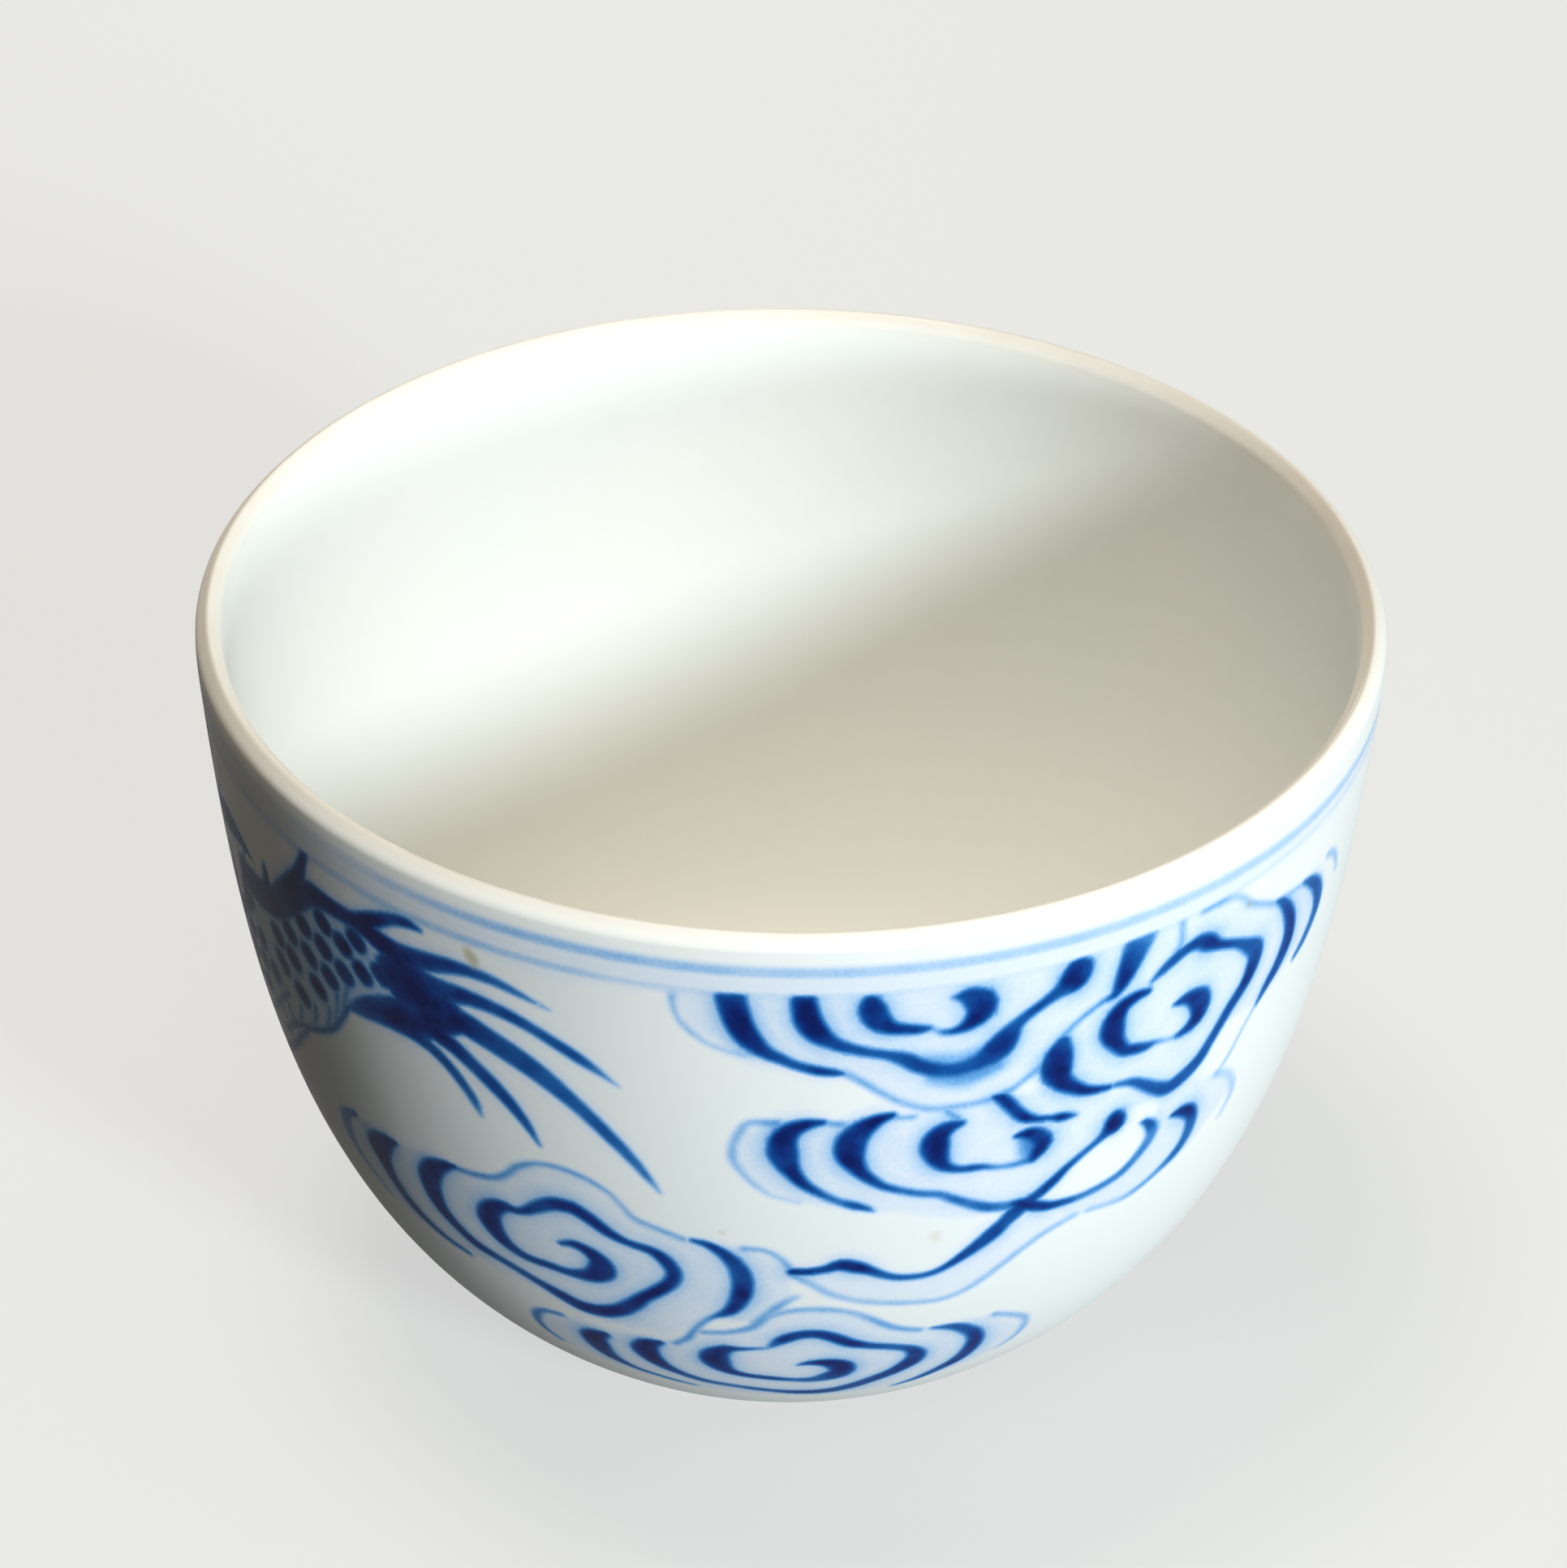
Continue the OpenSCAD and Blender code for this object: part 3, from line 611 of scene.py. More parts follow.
HEAD = [
    [(3.2, -3.8, .35, .9), (.5, -4.6, .45, .95), (-2, -3.5, .4), (-4.5, -2.9, .35, .9),
     (-6.6, -3.1, .4, .95), (-8.2, -4.2, .5, 1), (-9.8, -3.5), (-10, -2.1, .45, .95), (-8.6, -1.3, .35, .9),
     (-6.3, -1, .3, .85), (-3.6, -.7), (-1.4, .5, .35, .9)],
    [(-1.4, .6, .35, .9), (-3.2, 1.9, .3, .85), (-5.6, 2.3), (-7.6, 1.9, .35, .9), (-8, 3, .45, .95),
     (-6.4, 4), (-3.6, 3.9, .4, .9), (-.6, 3.3, .35), (2, 3, .3, .8)],
    [(-1.9, 1.1, .4, .5), (-4.2, 1.3), (-6, .7, .35), (-7.4, .5, .15, .4)],
    [(-1.9, -2.3, .25, .9), (-1.2, -3), (-.3, -2.8), (-.1, -2), (-.9, -1.4), (-1.7, -1.7), (-1.9, -2.3)],
    [(-1.1, -2.2, .32, 1), (-.95, -2.1)],
    [(-2.6, -3.6, .35, .9), (-1, -4.4, .5, .95), (1.2, -5.2), (3, -6.3, .15, .7)],
    [(-8.4, -2.6, .3, .95), (-7.6, -3, .35), (-7.1, -2.4, .2, .8)],
    [(1.4, -4.2, .6, .95), (3.8, -6.2, .55), (6.8, -7.2, .45, .9), (9.8, -6.9, .35, .85),
     (12.4, -8.2, .1, .6)],
    [(6, -7.1, .4, .9), (7.6, -8.6, .3, .85), (9.6, -9.2, .1, .6)],
    [(1.8, -1.8, .3, .9), (2.6, -3, .35), (3.9, -3.1, .3), (3.6, -1.9, .25, .85), (2.4, -1.2, .2, .8)],
    [(-9.6, -1.8, .35, .9), (-12.4, -3.2, .3, .85), (-14, -6, .28, .8), (-13, -8.8, .25, .75),
     (-10.8, -9.3, .1, .5)],
    [(-9, -1.2, .35, .9), (-12, .4, .3, .85), (-13.9, 3.4, .28, .8), (-13.4, 6.6, .25, .75),
     (-11.2, 7.9, .1, .5)],
    [(-6.6, -.9, .22, .9), (-6.5, .1, .1, .8)], [(-4.6, -.8, .22, .9), (-4.5, .1, .1, .8)],
    [(-6.2, 2.3, .22, .9), (-6.2, 1.4, .1, .8)], [(-3.9, 2.2, .22, .9), (-3.9, 1.3, .1, .8)],
    wisp(-7, 4.2, 5, 100, -50, .4), wisp(-5.4, 4.2, 5.4, 92, -40, .4), wisp(-3.8, 4.1, 5, 80, -35, .4),
    wisp(1.5, 3.2, 7.5, 62, -48, .6), wisp(2.6, 2.2, 9.5, 45, -42, .65), wisp(3.4, 1, 11, 26, -30, .6),
    wisp(4, -.6, 11, 2, 24, .55), wisp(4, -2.4, 10.5, -26, 44, .6), wisp(3.2, -3.8, 8.5, -40, 40, .5),
]
LEG = [
    [(-1.5, -2.4, .35, .9), (-4.6, -.8), (-6.6, 1.6, .3, .85), (-6.9, 4), (-5.6, 6.4, .25, .8),
     (-5.2, 8.4, .25, .85)],
    [(2.4, 1.4, .35, .9), (-.6, 3, .3, .85), (-2.6, 3.2), (-3.5, 4.4), (-2.8, 6.4, .25, .8),
     (-2.9, 8.4, .25, .85)],
    [(-.4, .4, .75, .8), (-.1, .5, .75, .8)], [(-2.4, .3, .7, .8), (-2.2, .4, .7, .8)],
    [(-4, 1.3, .65, .8), (-3.9, 1.5, .65, .8)], [(-5, 3, .6, .8), (-5, 3.2, .6, .8)],
    [(-4.7, 4.9, .5, .8), (-4.6, 5.1, .5, .8)], [(-4.1, 6.6, .45, .8), (-4.1, 6.8, .45, .8)],
    wisp(-6.6, 2.4, 5.5, 200, 42, .55), wisp(-6.7, 3.8, 4.6, 178, 40, .45), wisp(-6, 5.4, 3.6, 165, 36, .35),
] + claw(-4.1, 10, 100)
PEARL = [
    [(2.1 * math.cos(math.radians(a)), 2.1 * math.sin(math.radians(a)), .3, .85) for a in range(0, 361, 30)],
    [(.7, -.5, .45, .8), (-.3, -.7, .4, .8), (-.6, .3, .25, .7), (.2, .6, .12, .6)],
    wisp(2.4, -1.4, 6.5, -30, 55, .55), wisp(2.7, .2, 7.5, 4, -45, .6), wisp(2.2, 1.8, 6, 40, -60, .5),
    wisp(-.6, -2.6, 5, -80, 60, .5), wisp(.2, 2.7, 4.6, 78, -60, .45),
]
FLAME = [
    wisp(0, 0, 8, -160, 60, .7), wisp(.6, 1.2, 9.5, 178, 50, .75), wisp(.8, 2.6, 7, 160, 55, .6),
]


def placed(drawing, angle, down, turn=0.0, flip=False):
    """A drawing in millimetres, turned clockwise and set down on the wall."""
    c, s = math.cos(math.radians(turn)), math.sin(math.radians(turn))
    strokes = []
    for stroke in drawing:
        points = []
        for x, y, *brush in stroke:
            x = -x if flip else x
            low = down + s * x + c * y
            points.append((angle + (c * x - s * y) / math.radians(wall_radius(low)), low, *brush))
        strokes.append(points)
    return strokes


def shifted(strokes, angle, down=0.0, flip=False):
    """The same strokes further round the cup and further down, mirrored first if flip is set."""
    return [[((-p[0] if flip else p[0]) + angle, p[1] + down, *p[2:]) for p in stroke] for stroke in strokes]


def body_strokes():
    """Back edge with its spikes, scales, and belly with its segments, for the body beyond the view."""
    path = brushed([(*p, 1) for p in BODY_PATH])[:, :3]
    mm, slope = heading_of(path)
    steps_mm = np.hypot(np.diff(path[:, 0]) * mm[1:], np.diff(path[:, 1]))
    length = np.concatenate([[0], np.cumsum(steps_mm)])

    def at(reach, share, lag=0.0):
        """Place at a length along the body and a share of its half width towards its back."""
        where = np.clip(reach + lag, 0, length[-1])
        a, s, half, m, u, v = (np.interp(where, length, row) for row in (*path.T, mm, *slope.T))
        out = share * half
        return float(a - out * v / m), float(s + out * u)

    start, end = BODY_SEEN_SHARE * length[-1], length[-1]
    back, belly, line, strokes = [], [], [], []
    for reach in np.arange(start, end, EDGE_STEP):
        back.append((*at(reach, 0.93), .55, .92))
        belly.append((*at(reach, -1), .25, .6))
        line.append((*at(reach, -0.42), .18, .5))
    strokes += [back, belly, line]
    for i, reach in enumerate(np.arange(start, end - 2, SPIKE_STEP)):
        tip = 1.62 + 0.16 * (i % 2)
        strokes.append([(*at(reach, 0.9, 1.6), .8, .95), (*at(reach, 1.2, 0.4), .55, .92),
                        (*at(reach, 1.42, -1.4), .3, .85), (*at(reach, tip, -3.2), .1, .6)])
    for i, reach in enumerate(np.arange(start + 1, end - 1, SCALE_STEP)):
        for share in (0.62, 0.16) if i % 2 else (0.4, -0.08):
            strokes.append([(*at(reach, share), SCALE_R, .93), (*at(reach + 0.5, share), SCALE_R, .93)])
    for reach in np.arange(start + 1.5, end - 1, SEGMENT_STEP):
        strokes.append([(*at(reach, -0.45), .16, .4), (*at(reach, -0.72, 0.5), .18, .45),
                        (*at(reach, -0.97, 1.5), .16, .35)])
    return strokes


# A spike of the back at the far left of the photograph
EDGE_OF_VIEW = [
    (-75, 12, 1, .7), (-70.5, 11.3, 1.1, .85), (-67, 11, .75), (-64.4, 11.1, .35, .8), (-62.8, 11.4, .1, .5),
]
DRAGON = TAIL + BODY_EDGE + SCALES + body_strokes() + (
    placed(HEAD, -212, 14.5) + placed(PEARL, -249, 20.5, flip=True)
    + placed(LEG, -80, 34, flip=True) + placed(LEG, -112, 26.5, 42) + placed(LEG, -160, 33.5, -14)
    + placed(LEG, -185, 30.5, 58)
    + [EDGE_OF_VIEW]
    + placed(FLAME, -189, 13.5, 30)
)
FRONT_CLOUDS = CLOUD_1 + CLOUD_2 + CLOUD_3 + CLOUD_4 + CLOUD_5
BACK_CLOUDS = (
    shifted(CLOUD_5, -118, 0, True) + shifted(CLOUD_5, 157, 0, True) + shifted(CLOUD_5, 95)
    + shifted(CLOUD_4, 81, -1, True) + shifted(CLOUD_1, 88, 0) + shifted(CLOUD_1, -81, 1, True)
    + shifted(CLOUD_1, 178, 1)
)
STROKES = FRONT_CLOUDS + BACK_CLOUDS + DRAGON


# Where points lie across a stroke: share of its half width, and millimetres beyond that
ACROSS = [
    (0, 0), (0.55, 0), (1, -0.7 * EDGE_SOFT), (1, 0), (1, EDGE_SOFT),
    (1, EDGE_SOFT + 0.35), (1, EDGE_SOFT + 0.9),
]


def across(path):
    """Places beside each point of a stroke, and round its two ends, that hold its core and its edges."""
    mm, along = heading_of(path)
    turns = np.radians(np.arange(0, 360, END_STEP_DEG))
    rows = []
    for share, extra in ACROSS:
        reach = np.maximum(share * path[:, 2] + extra, LEAST_REACH * path[:, 2] * (share > 0))
        for side in (-1, 1):
            rows.append(np.stack([path[:, 0] - side * along[:, 1] * reach / mm,
                                  path[:, 1] + side * along[:, 0] * reach], axis=1))
        for end in (0, -1):
            rows.append(np.stack([path[end, 0] + reach[end] * np.cos(turns) / mm[end],
                                  path[end, 1] + reach[end] * np.sin(turns)], axis=1))
    return np.concatenate(rows)


def round_cell(i, j):
    """A cell of a square grid and the eight round it."""
    return ((a, b) for a in (i - 1, i, i + 1) for b in (j - 1, j, j + 1))


def thinned(points, kept, gap):
    """Adds to kept the points that lie at least about gap from all kept ones, on the unrolled wall."""
    cells = {}
    for x, y in kept:
        cells.setdefault((int(x // gap), int(y // gap)), []).append((x, y))
    for x, y in points:
        i, j = int(x // gap), int(y // gap)
        near = (q for cell in round_cell(i, j) for q in cells.get(cell, ()))
        if all((x - u) ** 2 + (y - v) ** 2 >= gap * gap for u, v in near):
            cells.setdefault((i, j), []).append((x, y))
            kept.append((x, y))
    return kept


def to_segment(places, a, b):
    """Where each place is nearest on the line from a to b, as a share of its length, and how far away."""
    step = b - a
    t = np.clip((places - a) @ step / max(step @ step, 1e-9), 0, 1)
    return t, np.linalg.norm(places - a - t[:, None] * step, axis=1)


def blue_of(places, paths, soft=None):
    """Strength of the blue of strokes at each place, and of the thin blue round them.

    Soft is half the width of their soft edge. Without it, the edge is as soft as the stroke is wide.
    """
    blue, bleed = np.zeros(len(places)), np.zeros(len(places))
    for path in paths:
        middle = on_wall(path[:, 0], path[:, 1])[0] / MM
        widest = path[:, 2].max()
        reach = widest + max(BLEED_REACH, soft or widest)
        near = np.all((places > middle.min(0) - reach) & (places < middle.max(0) + reach), axis=1)
        index = np.flatnonzero(near)
        here, best, spread = places[index], np.zeros(len(index)), np.zeros(len(index))
        for a, b, u, v in zip(middle, middle[1:], path, path[1:]):
            t, away = to_segment(here, a, b)
            half, strength = (u[k] + (v[k] - u[k]) * t for k in (2, 3))
            edge = soft * (1 + PALE_SOFT * (1 - strength)) if soft else half
            core = 1 - CORE_FADE * np.clip(away / half, 0, 1) ** 2
            best = np.maximum(best, soft_step((half + edge - away) / (2 * edge)) * core * strength)
            ring = np.exp(-np.maximum(away - half, 0) / BLEED_W)
            ring *= soft_step((BLEED_REACH + half - away) / BLEED_FADE)
            spread = np.maximum(spread, ring * strength ** 2 * np.minimum(half / BLEED_W, 1))
        blue[index] = np.maximum(blue[index], best)
        bleed[index] = np.maximum(bleed[index], spread)
    return blue, bleed


def wash_of(angle, down):
    """Strength of the thin blue washed over the ground inside the outlines."""
    flat = np.stack([angle * WASH_MM_PER_DEGREE, down], axis=1)
    wash = np.zeros(len(flat))
    for strength, outline in WASHES:
        corners = np.array(outline) * [WASH_MM_PER_DEGREE, 1]
        inside, nearest = np.zeros(len(flat), bool), np.full(len(flat), 1e9)
        for a, b in zip(corners, np.roll(corners, -1, axis=0)):
            nearest = np.minimum(nearest, to_segment(flat, a, b)[1])
            crosses = (a[1] > flat[:, 1]) != (b[1] > flat[:, 1])
            rise = b[1] - a[1] or 1
            inside ^= crosses & (flat[:, 0] < a[0] + (flat[:, 1] - a[1]) / rise * (b[0] - a[0]))
        depth = np.where(inside, nearest, -nearest)
        wash = np.maximum(wash, strength * soft_step(0.5 + depth / (2 * WASH_SOFT)))
    return wash


def painting(places, down, angle):
    """Strength of the blue at each place of the wall."""
    blue, bleed = blue_of(places, [brushed(s) for s in STROKES], EDGE_SOFT)
    lines = blue_of(places, [brushed(s, RIM_BRUSH_STEP) for s in RIM_LINES], LINE_SOFT)[0]
    thin = blue_of(places, [brushed(s) for s in HALOS])[0]
    below = soft_step((down - TOP_OF_PAINTING) / TOP_FADE)
    ground = 1 - (1 - lines) * (1 - below * wash_of(angle, down)) * (1 - thin) * (1 - below * BLEED * bleed)
    return 1 - (1 - below * blue) * (1 - ground)


def add_mesh(name, vertices, faces, skin, normals):
    """A mesh whose skin faces are shaded with the normals given and whose other faces are flat."""
    mesh = bpy.data.meshes.new(name)
    mesh.from_pydata(np.asarray(vertices).tolist(), [], faces)
    mesh.update()
    lead = next(i for i, shown in enumerate(skin) if shown)
    if Vector(normals[faces[lead][0]]).dot(mesh.polygons[lead].normal) < 0:
        mesh.flip_normals()
    flat = np.empty(len(faces) * 3)
    mesh.polygons.foreach_get("normal", flat)
    sizes = np.array([len(f) for f in faces])
    owner = np.repeat(np.arange(len(faces)), sizes)
    corner = np.empty(sizes.sum(), np.int32)
    mesh.loops.foreach_get("vertex_index", corner)
    shown = np.array(skin)[owner]
    shading = np.where(shown[:, None], np.asarray(normals)[corner], flat.reshape(-1, 3)[owner])
    mesh.shade_smooth()
    mesh.normals_split_custom_set(shading.tolist())
    piece = bpy.data.objects.new(name, mesh)
    bpy.context.scene.collection.objects.link(piece)
    return piece


def set_values(piece, name, values):
    """Keeps one number for each vertex, for the piece's material."""
    layer = piece.data.attributes.new(name, "FLOAT", "POINT")
    layer.data.foreach_set("value", np.asarray(values, np.float32))


def banded(rows, shown_count):
    """Faces between rows of vertex numbers round the cup, and whether each is in a band that shows."""
    faces, skin = [], []
    for i, (top, low) in enumerate(zip(rows, rows[1:])):
        for j in range(COLUMNS):
            k = (j + 1) % COLUMNS
            corners = [int(c) for c in (top[j], top[k], low[k], low[j])]
            face = [c for n, c in enumerate(corners) if c != corners[n - 1]]
            if len(face) > 2:
                faces.append(face)
                skin.append(i < shown_count)
    return faces, skin


def lathe(name, front, back):
    """A closed shell of revolution from its visible profile and the places behind it."""
    places = np.concatenate([front[0], back])
    outward = np.concatenate([front[1], np.zeros((len(back), 2))])
    vertices, normals, rows = [], [], []
    for place, out in zip(places, outward):
        count = COLUMNS if place[0] > ON_AXIS else 1
        rows.append((np.arange(COLUMNS) if count > 1 else np.zeros(COLUMNS, int)) + len(vertices))
        vertices.extend(round_axis(place, COLUMN_ANGLES[:count]))
        normals.extend(round_axis(out, COLUMN_ANGLES[:count]))
    if places[0][0] > ON_AXIS:
        rows.append(rows[0])
    return add_mesh(name, vertices, *banded(rows, len(front[0]) - 1), normals)


def crown_distance(piece):
    """Distance in millimetres of each vertex from the crown of the lip, a little to its inside."""
    co = np.empty(len(piece.data.vertices) * 3)
    piece.data.vertices.foreach_get("co", co)
    x, y, z = co.reshape(-1, 3).T
    return np.hypot(np.hypot(x, y) - (LIP_CENTRE[0] - CREAM_AND_SHADE_INWARD), z - CUP_H) / MM


def beside_strokes():
    """Places beside all the strokes and specks and in rows under the rim lines: angle, distance down."""
    rings = [(a, s) for s in np.arange(*RIM_ROWS) for a in np.arange(-180, 180, RIM_STEP_DEG)]
    places = np.concatenate([rings] + [across(brushed(s)) for s in STROKES + SPECKS])
    places[:, 0] = (places[:, 0] + 180) % 360 - 180
    inside = np.abs(places[:, 0]) < 180 - SEAM_CLEAR_DEG
    return places[inside & (places[:, 1] > WALL_FROM + EDGE_CLEAR) & (places[:, 1] < WALL_TO - EDGE_CLEAR)]


def with_field(kept):
    """Adds the wide mesh of the bare glaze where no point is near."""
    end = 180 * FLAT_SCALE - FIELD_GAP
    rows = np.arange(WALL_FROM + FIELD_GAP, WALL_TO - FIELD_GAP / 2, FIELD_STEP * math.sqrt(3) / 2)
    cells = {(int(x // FIELD_GAP), int(y // FIELD_GAP)) for x, y in kept}
    for i, y in enumerate(rows):
        for x in np.arange(-end, end, FIELD_STEP) + FIELD_STEP / 2 * (i % 2):
            if cells.isdisjoint(round_cell(int(x // FIELD_GAP), int(y // FIELD_GAP))):
                kept.append((x, y))
    return kept


def unrolled_mesh():
    """Points of the unrolled wall, its triangles, and the numbers of its top and bottom rows."""
    seam = steps(int((WALL_TO - WALL_FROM) / FIELD_GAP), WALL_FROM, WALL_TO)[1:-1]
    fixed = [(a * FLAT_SCALE, s) for s in (WALL_FROM, WALL_TO) for a in COLUMN_DEG]
    fixed += [(a * FLAT_SCALE, s) for a in (-180, 180) for s in seam]
    beside = beside_strokes()
    behind = np.abs(beside[:, 0]) > BACK_FROM_DEG
    beside *= [FLAT_SCALE, 1]
    kept = thinned(beside[~behind].tolist(), fixed, LEAST_GAP)
    kept = np.array(with_field(thinned(beside[behind].tolist(), kept, BACK_GAP)))
    made = delaunay_2d_cdt([Vector(p) for p in kept.tolist()], [], [], 0, 1e-7, True)
    order = np.array([ids[0] for ids in made[3]])
    number = np.empty(len(kept), int)
    number[order] = np.arange(len(order))
    # The seam's points at 180 degrees are the ones at -180
    row, count = COLUMNS + 1, len(seam)
    first = np.array([0, row, *range(2 * row, 2 * row + count)])
    second = np.array([COLUMNS, row + COLUMNS, *range(2 * row + count, 2 * row + 2 * count)])
    same = np.arange(len(order))
    same[number[second]] = number[first]
    top, bottom = (same[number[start:start + COLUMNS]] for start in (0, row))
    return kept[order] / [FLAT_SCALE, 1], same[np.array(made[2])].tolist(), top, bottom


def faces_out(vertices, normals, face):
    """Whether a face's corners run anticlockwise seen from where the normal at its first one points."""
    a, b, c = (Vector(vertices[i]) for i in face[:3])
    return (b - a).cross(c - a).dot(Vector(normals[face[0]])) > 0


def painted_wall():
    """Outer glaze with the painting in its vertices, and the glaze under the bowl down to the foot."""
    place, faces, top, bottom = unrolled_mesh()
    vertices, normals = on_wall(place[:, 0], place[:, 1])
    front = under()
    clay = curve(wall_points, steps(BACK_STEPS, 1, 0), GLAZE_T)[0]
    profile = np.concatenate([front[0][1:], clay_side(1), clay])
    outward = np.concatenate([front[1][1:], np.zeros((len(clay) + 2, 2))])
    rows = [bottom]
    for p, out in zip(profile, outward):
        rows.append(np.arange(COLUMNS) + len(vertices))
        vertices = np.concatenate([vertices, round_axis(p, COLUMN_ANGLES)])
        normals = np.concatenate([normals, round_axis(out, COLUMN_ANGLES)])
    lower, lower_skin = banded(rows + [top], len(front[0]) - 1)
    if faces_out(vertices, normals, faces[0]) != faces_out(vertices, normals, lower[0]):
        faces = [f[::-1] for f in faces]
    skin = [True] * len(faces) + lower_skin
    faces += lower
    used = np.unique(np.concatenate(faces))
    renumber = np.full(len(vertices), -1)
    renumber[used] = np.arange(len(used))
    faces = [renumber[f].tolist() for f in faces]
    vertices, normals = vertices[used], normals[used]
    piece = add_mesh("painted_outer_glaze", vertices, faces, skin, normals)
    down = np.interp(-vertices[:, 2], -wall_profile[:, 1], wall_lengths)
    angle = np.degrees(np.arctan2(vertices[:, 0], -vertices[:, 1]))
    set_values(piece, "cobalt", painting(vertices / MM, down, angle))
    set_values(piece, "rust", blue_of(vertices / MM, [brushed(s) for s in SPECKS], EDGE_SOFT)[0])
    return piece


class Nodes:
    """Makes and links the nodes of one material or world."""

    def __init__(self, owner, kind="Material"):
        owner.use_nodes = True
        self.owner = owner
        self.tree = owner.node_tree
        self.tree.nodes.clear()
        self.output = self.tree.nodes.new("ShaderNodeOutput" + kind)

    def add(self, kind, inputs=None, **settings):
        node = self.tree.nodes.new(kind)
        for key, value in settings.items():
            setattr(node, key, value)
        for key, value in (inputs or {}).items():
            if isinstance(value, bpy.types.NodeSocket):
                self.tree.links.new(value, node.inputs[key])
            else:
                node.inputs[key].default_value = value
        return node

    def noise(self, size, detail=2.0):
        """Smooth noise from 0 to 1 whose features have that size in metres."""
        place = self.add("ShaderNodeTexCoord").outputs["Object"]
        made = self.add("ShaderNodeTexNoise", {"Vector": place, "Scale": 1 / size, "Detail": detail})
        return made.outputs["Fac"]

    def attribute(self, name):
        return self.add("ShaderNodeAttribute", attribute_name=name).outputs["Fac"]

    def math(self, operation, a, b):
        return self.add("ShaderNodeMath", {0: a, 1: b}, operation=operation).outputs[0]

    def seen(self):
        """1 for what the camera sees, straight or in a glossy surface, and 0 for light on the object."""
        path = self.add("ShaderNodeLightPath")
        return self.math("MAXIMUM", path.outputs["Is Camera Ray"], path.outputs["Is Glossy Ray"])

    def spread(self, value, low, high, to_low=0.0, to_high=1.0):
        return self.add("ShaderNodeMapRange", {
            "Value": value, "From Min": low, "From Max": high, "To Min": to_low, "To Max": to_high,
        }).outputs[0]

    def mix(self, share, a, b):
        """Colour a where share is 0 and b where it is 1."""
        node = self.add("ShaderNodeMix", data_type="RGBA")
        for socket, value in ((node.inputs[0], share), (node.inputs[6], a), (node.inputs[7], b)):
            if isinstance(value, bpy.types.NodeSocket):
                self.tree.links.new(value, socket)
            else:
                socket.default_value = value if isinstance(value, float) else (*value, 1)
        return node.outputs[2]

    def ramp(self, value, stops):
        node = self.add("ShaderNodeValToRGB", {"Fac": value})
        ramp = node.color_ramp
        ramp.elements[0].position, ramp.elements[0].color = stops[0][0], (*stops[0][1], 1)
        ramp.elements[1].position, ramp.elements[1].color = stops[-1][0], (*stops[-1][1], 1)
        for at, colour in stops[1:-1]:
            ramp.elements.new(at).color = (*colour, 1)
        return node.outputs[0]

    def bump(self, height, depth):
        return self.add("ShaderNodeBump", {"Height": height, "Strength": 1.0, "Distance": depth}).outputs[0]

    def finish(self, kind, inputs):
        """Ends the tree with a shader of that kind."""
        self.tree.links.new(self.add(kind, inputs).outputs[0], self.output.inputs[0])
        return self.owner


GLAZE_WHITE = (0.90, 0.915, 0.89)
GLAZE_POOL = (0.875, 0.905, 0.885)
# The same glaze on the outer wall, painted lighter than inside as painted light
OUTER_WHITE_PAINTED_LIGHTER = (0.935, 0.95, 0.925)
OUTER_POOL_PAINTED_LIGHTER = (0.91, 0.94, 0.92)
# Cream of the thin glaze on the lip, made darker as painted shade on the brightly lit crown
LIP_CREAM_AND_PAINTED_SHADE = (0.80, 0.765, 0.69)
RUST = (0.50, 0.42, 0.18)
GRIT = (0.35, 0.24, 0.15)
BODY_CLAY = ((0.80, 0.78, 0.72), (0.74, 0.71, 0.64))
FOOT_CLAY = ((0.78, 0.69, 0.56), (0.68, 0.56, 0.42))
# Blue of the cobalt by its strength, starting from the outer wall's painted lighter white
COBALT = [
    (0.0, OUTER_WHITE_PAINTED_LIGHTER), (0.1, (0.80, 0.86, 0.955)), (0.2, (0.53, 0.71, 0.93)), (0.35, (0.20, 0.46, 0.82)),
    (0.5, (0.065, 0.265, 0.63)), (0.65, (0.013, 0.14, 0.45)), (0.8, (0.002, 0.075, 0.325)),
    (0.92, (0.0005, 0.028, 0.205)), (1.0, (0.0001, 0.01, 0.115)),
]


def new_material(name):
    return Nodes(bpy.data.materials.new(name))


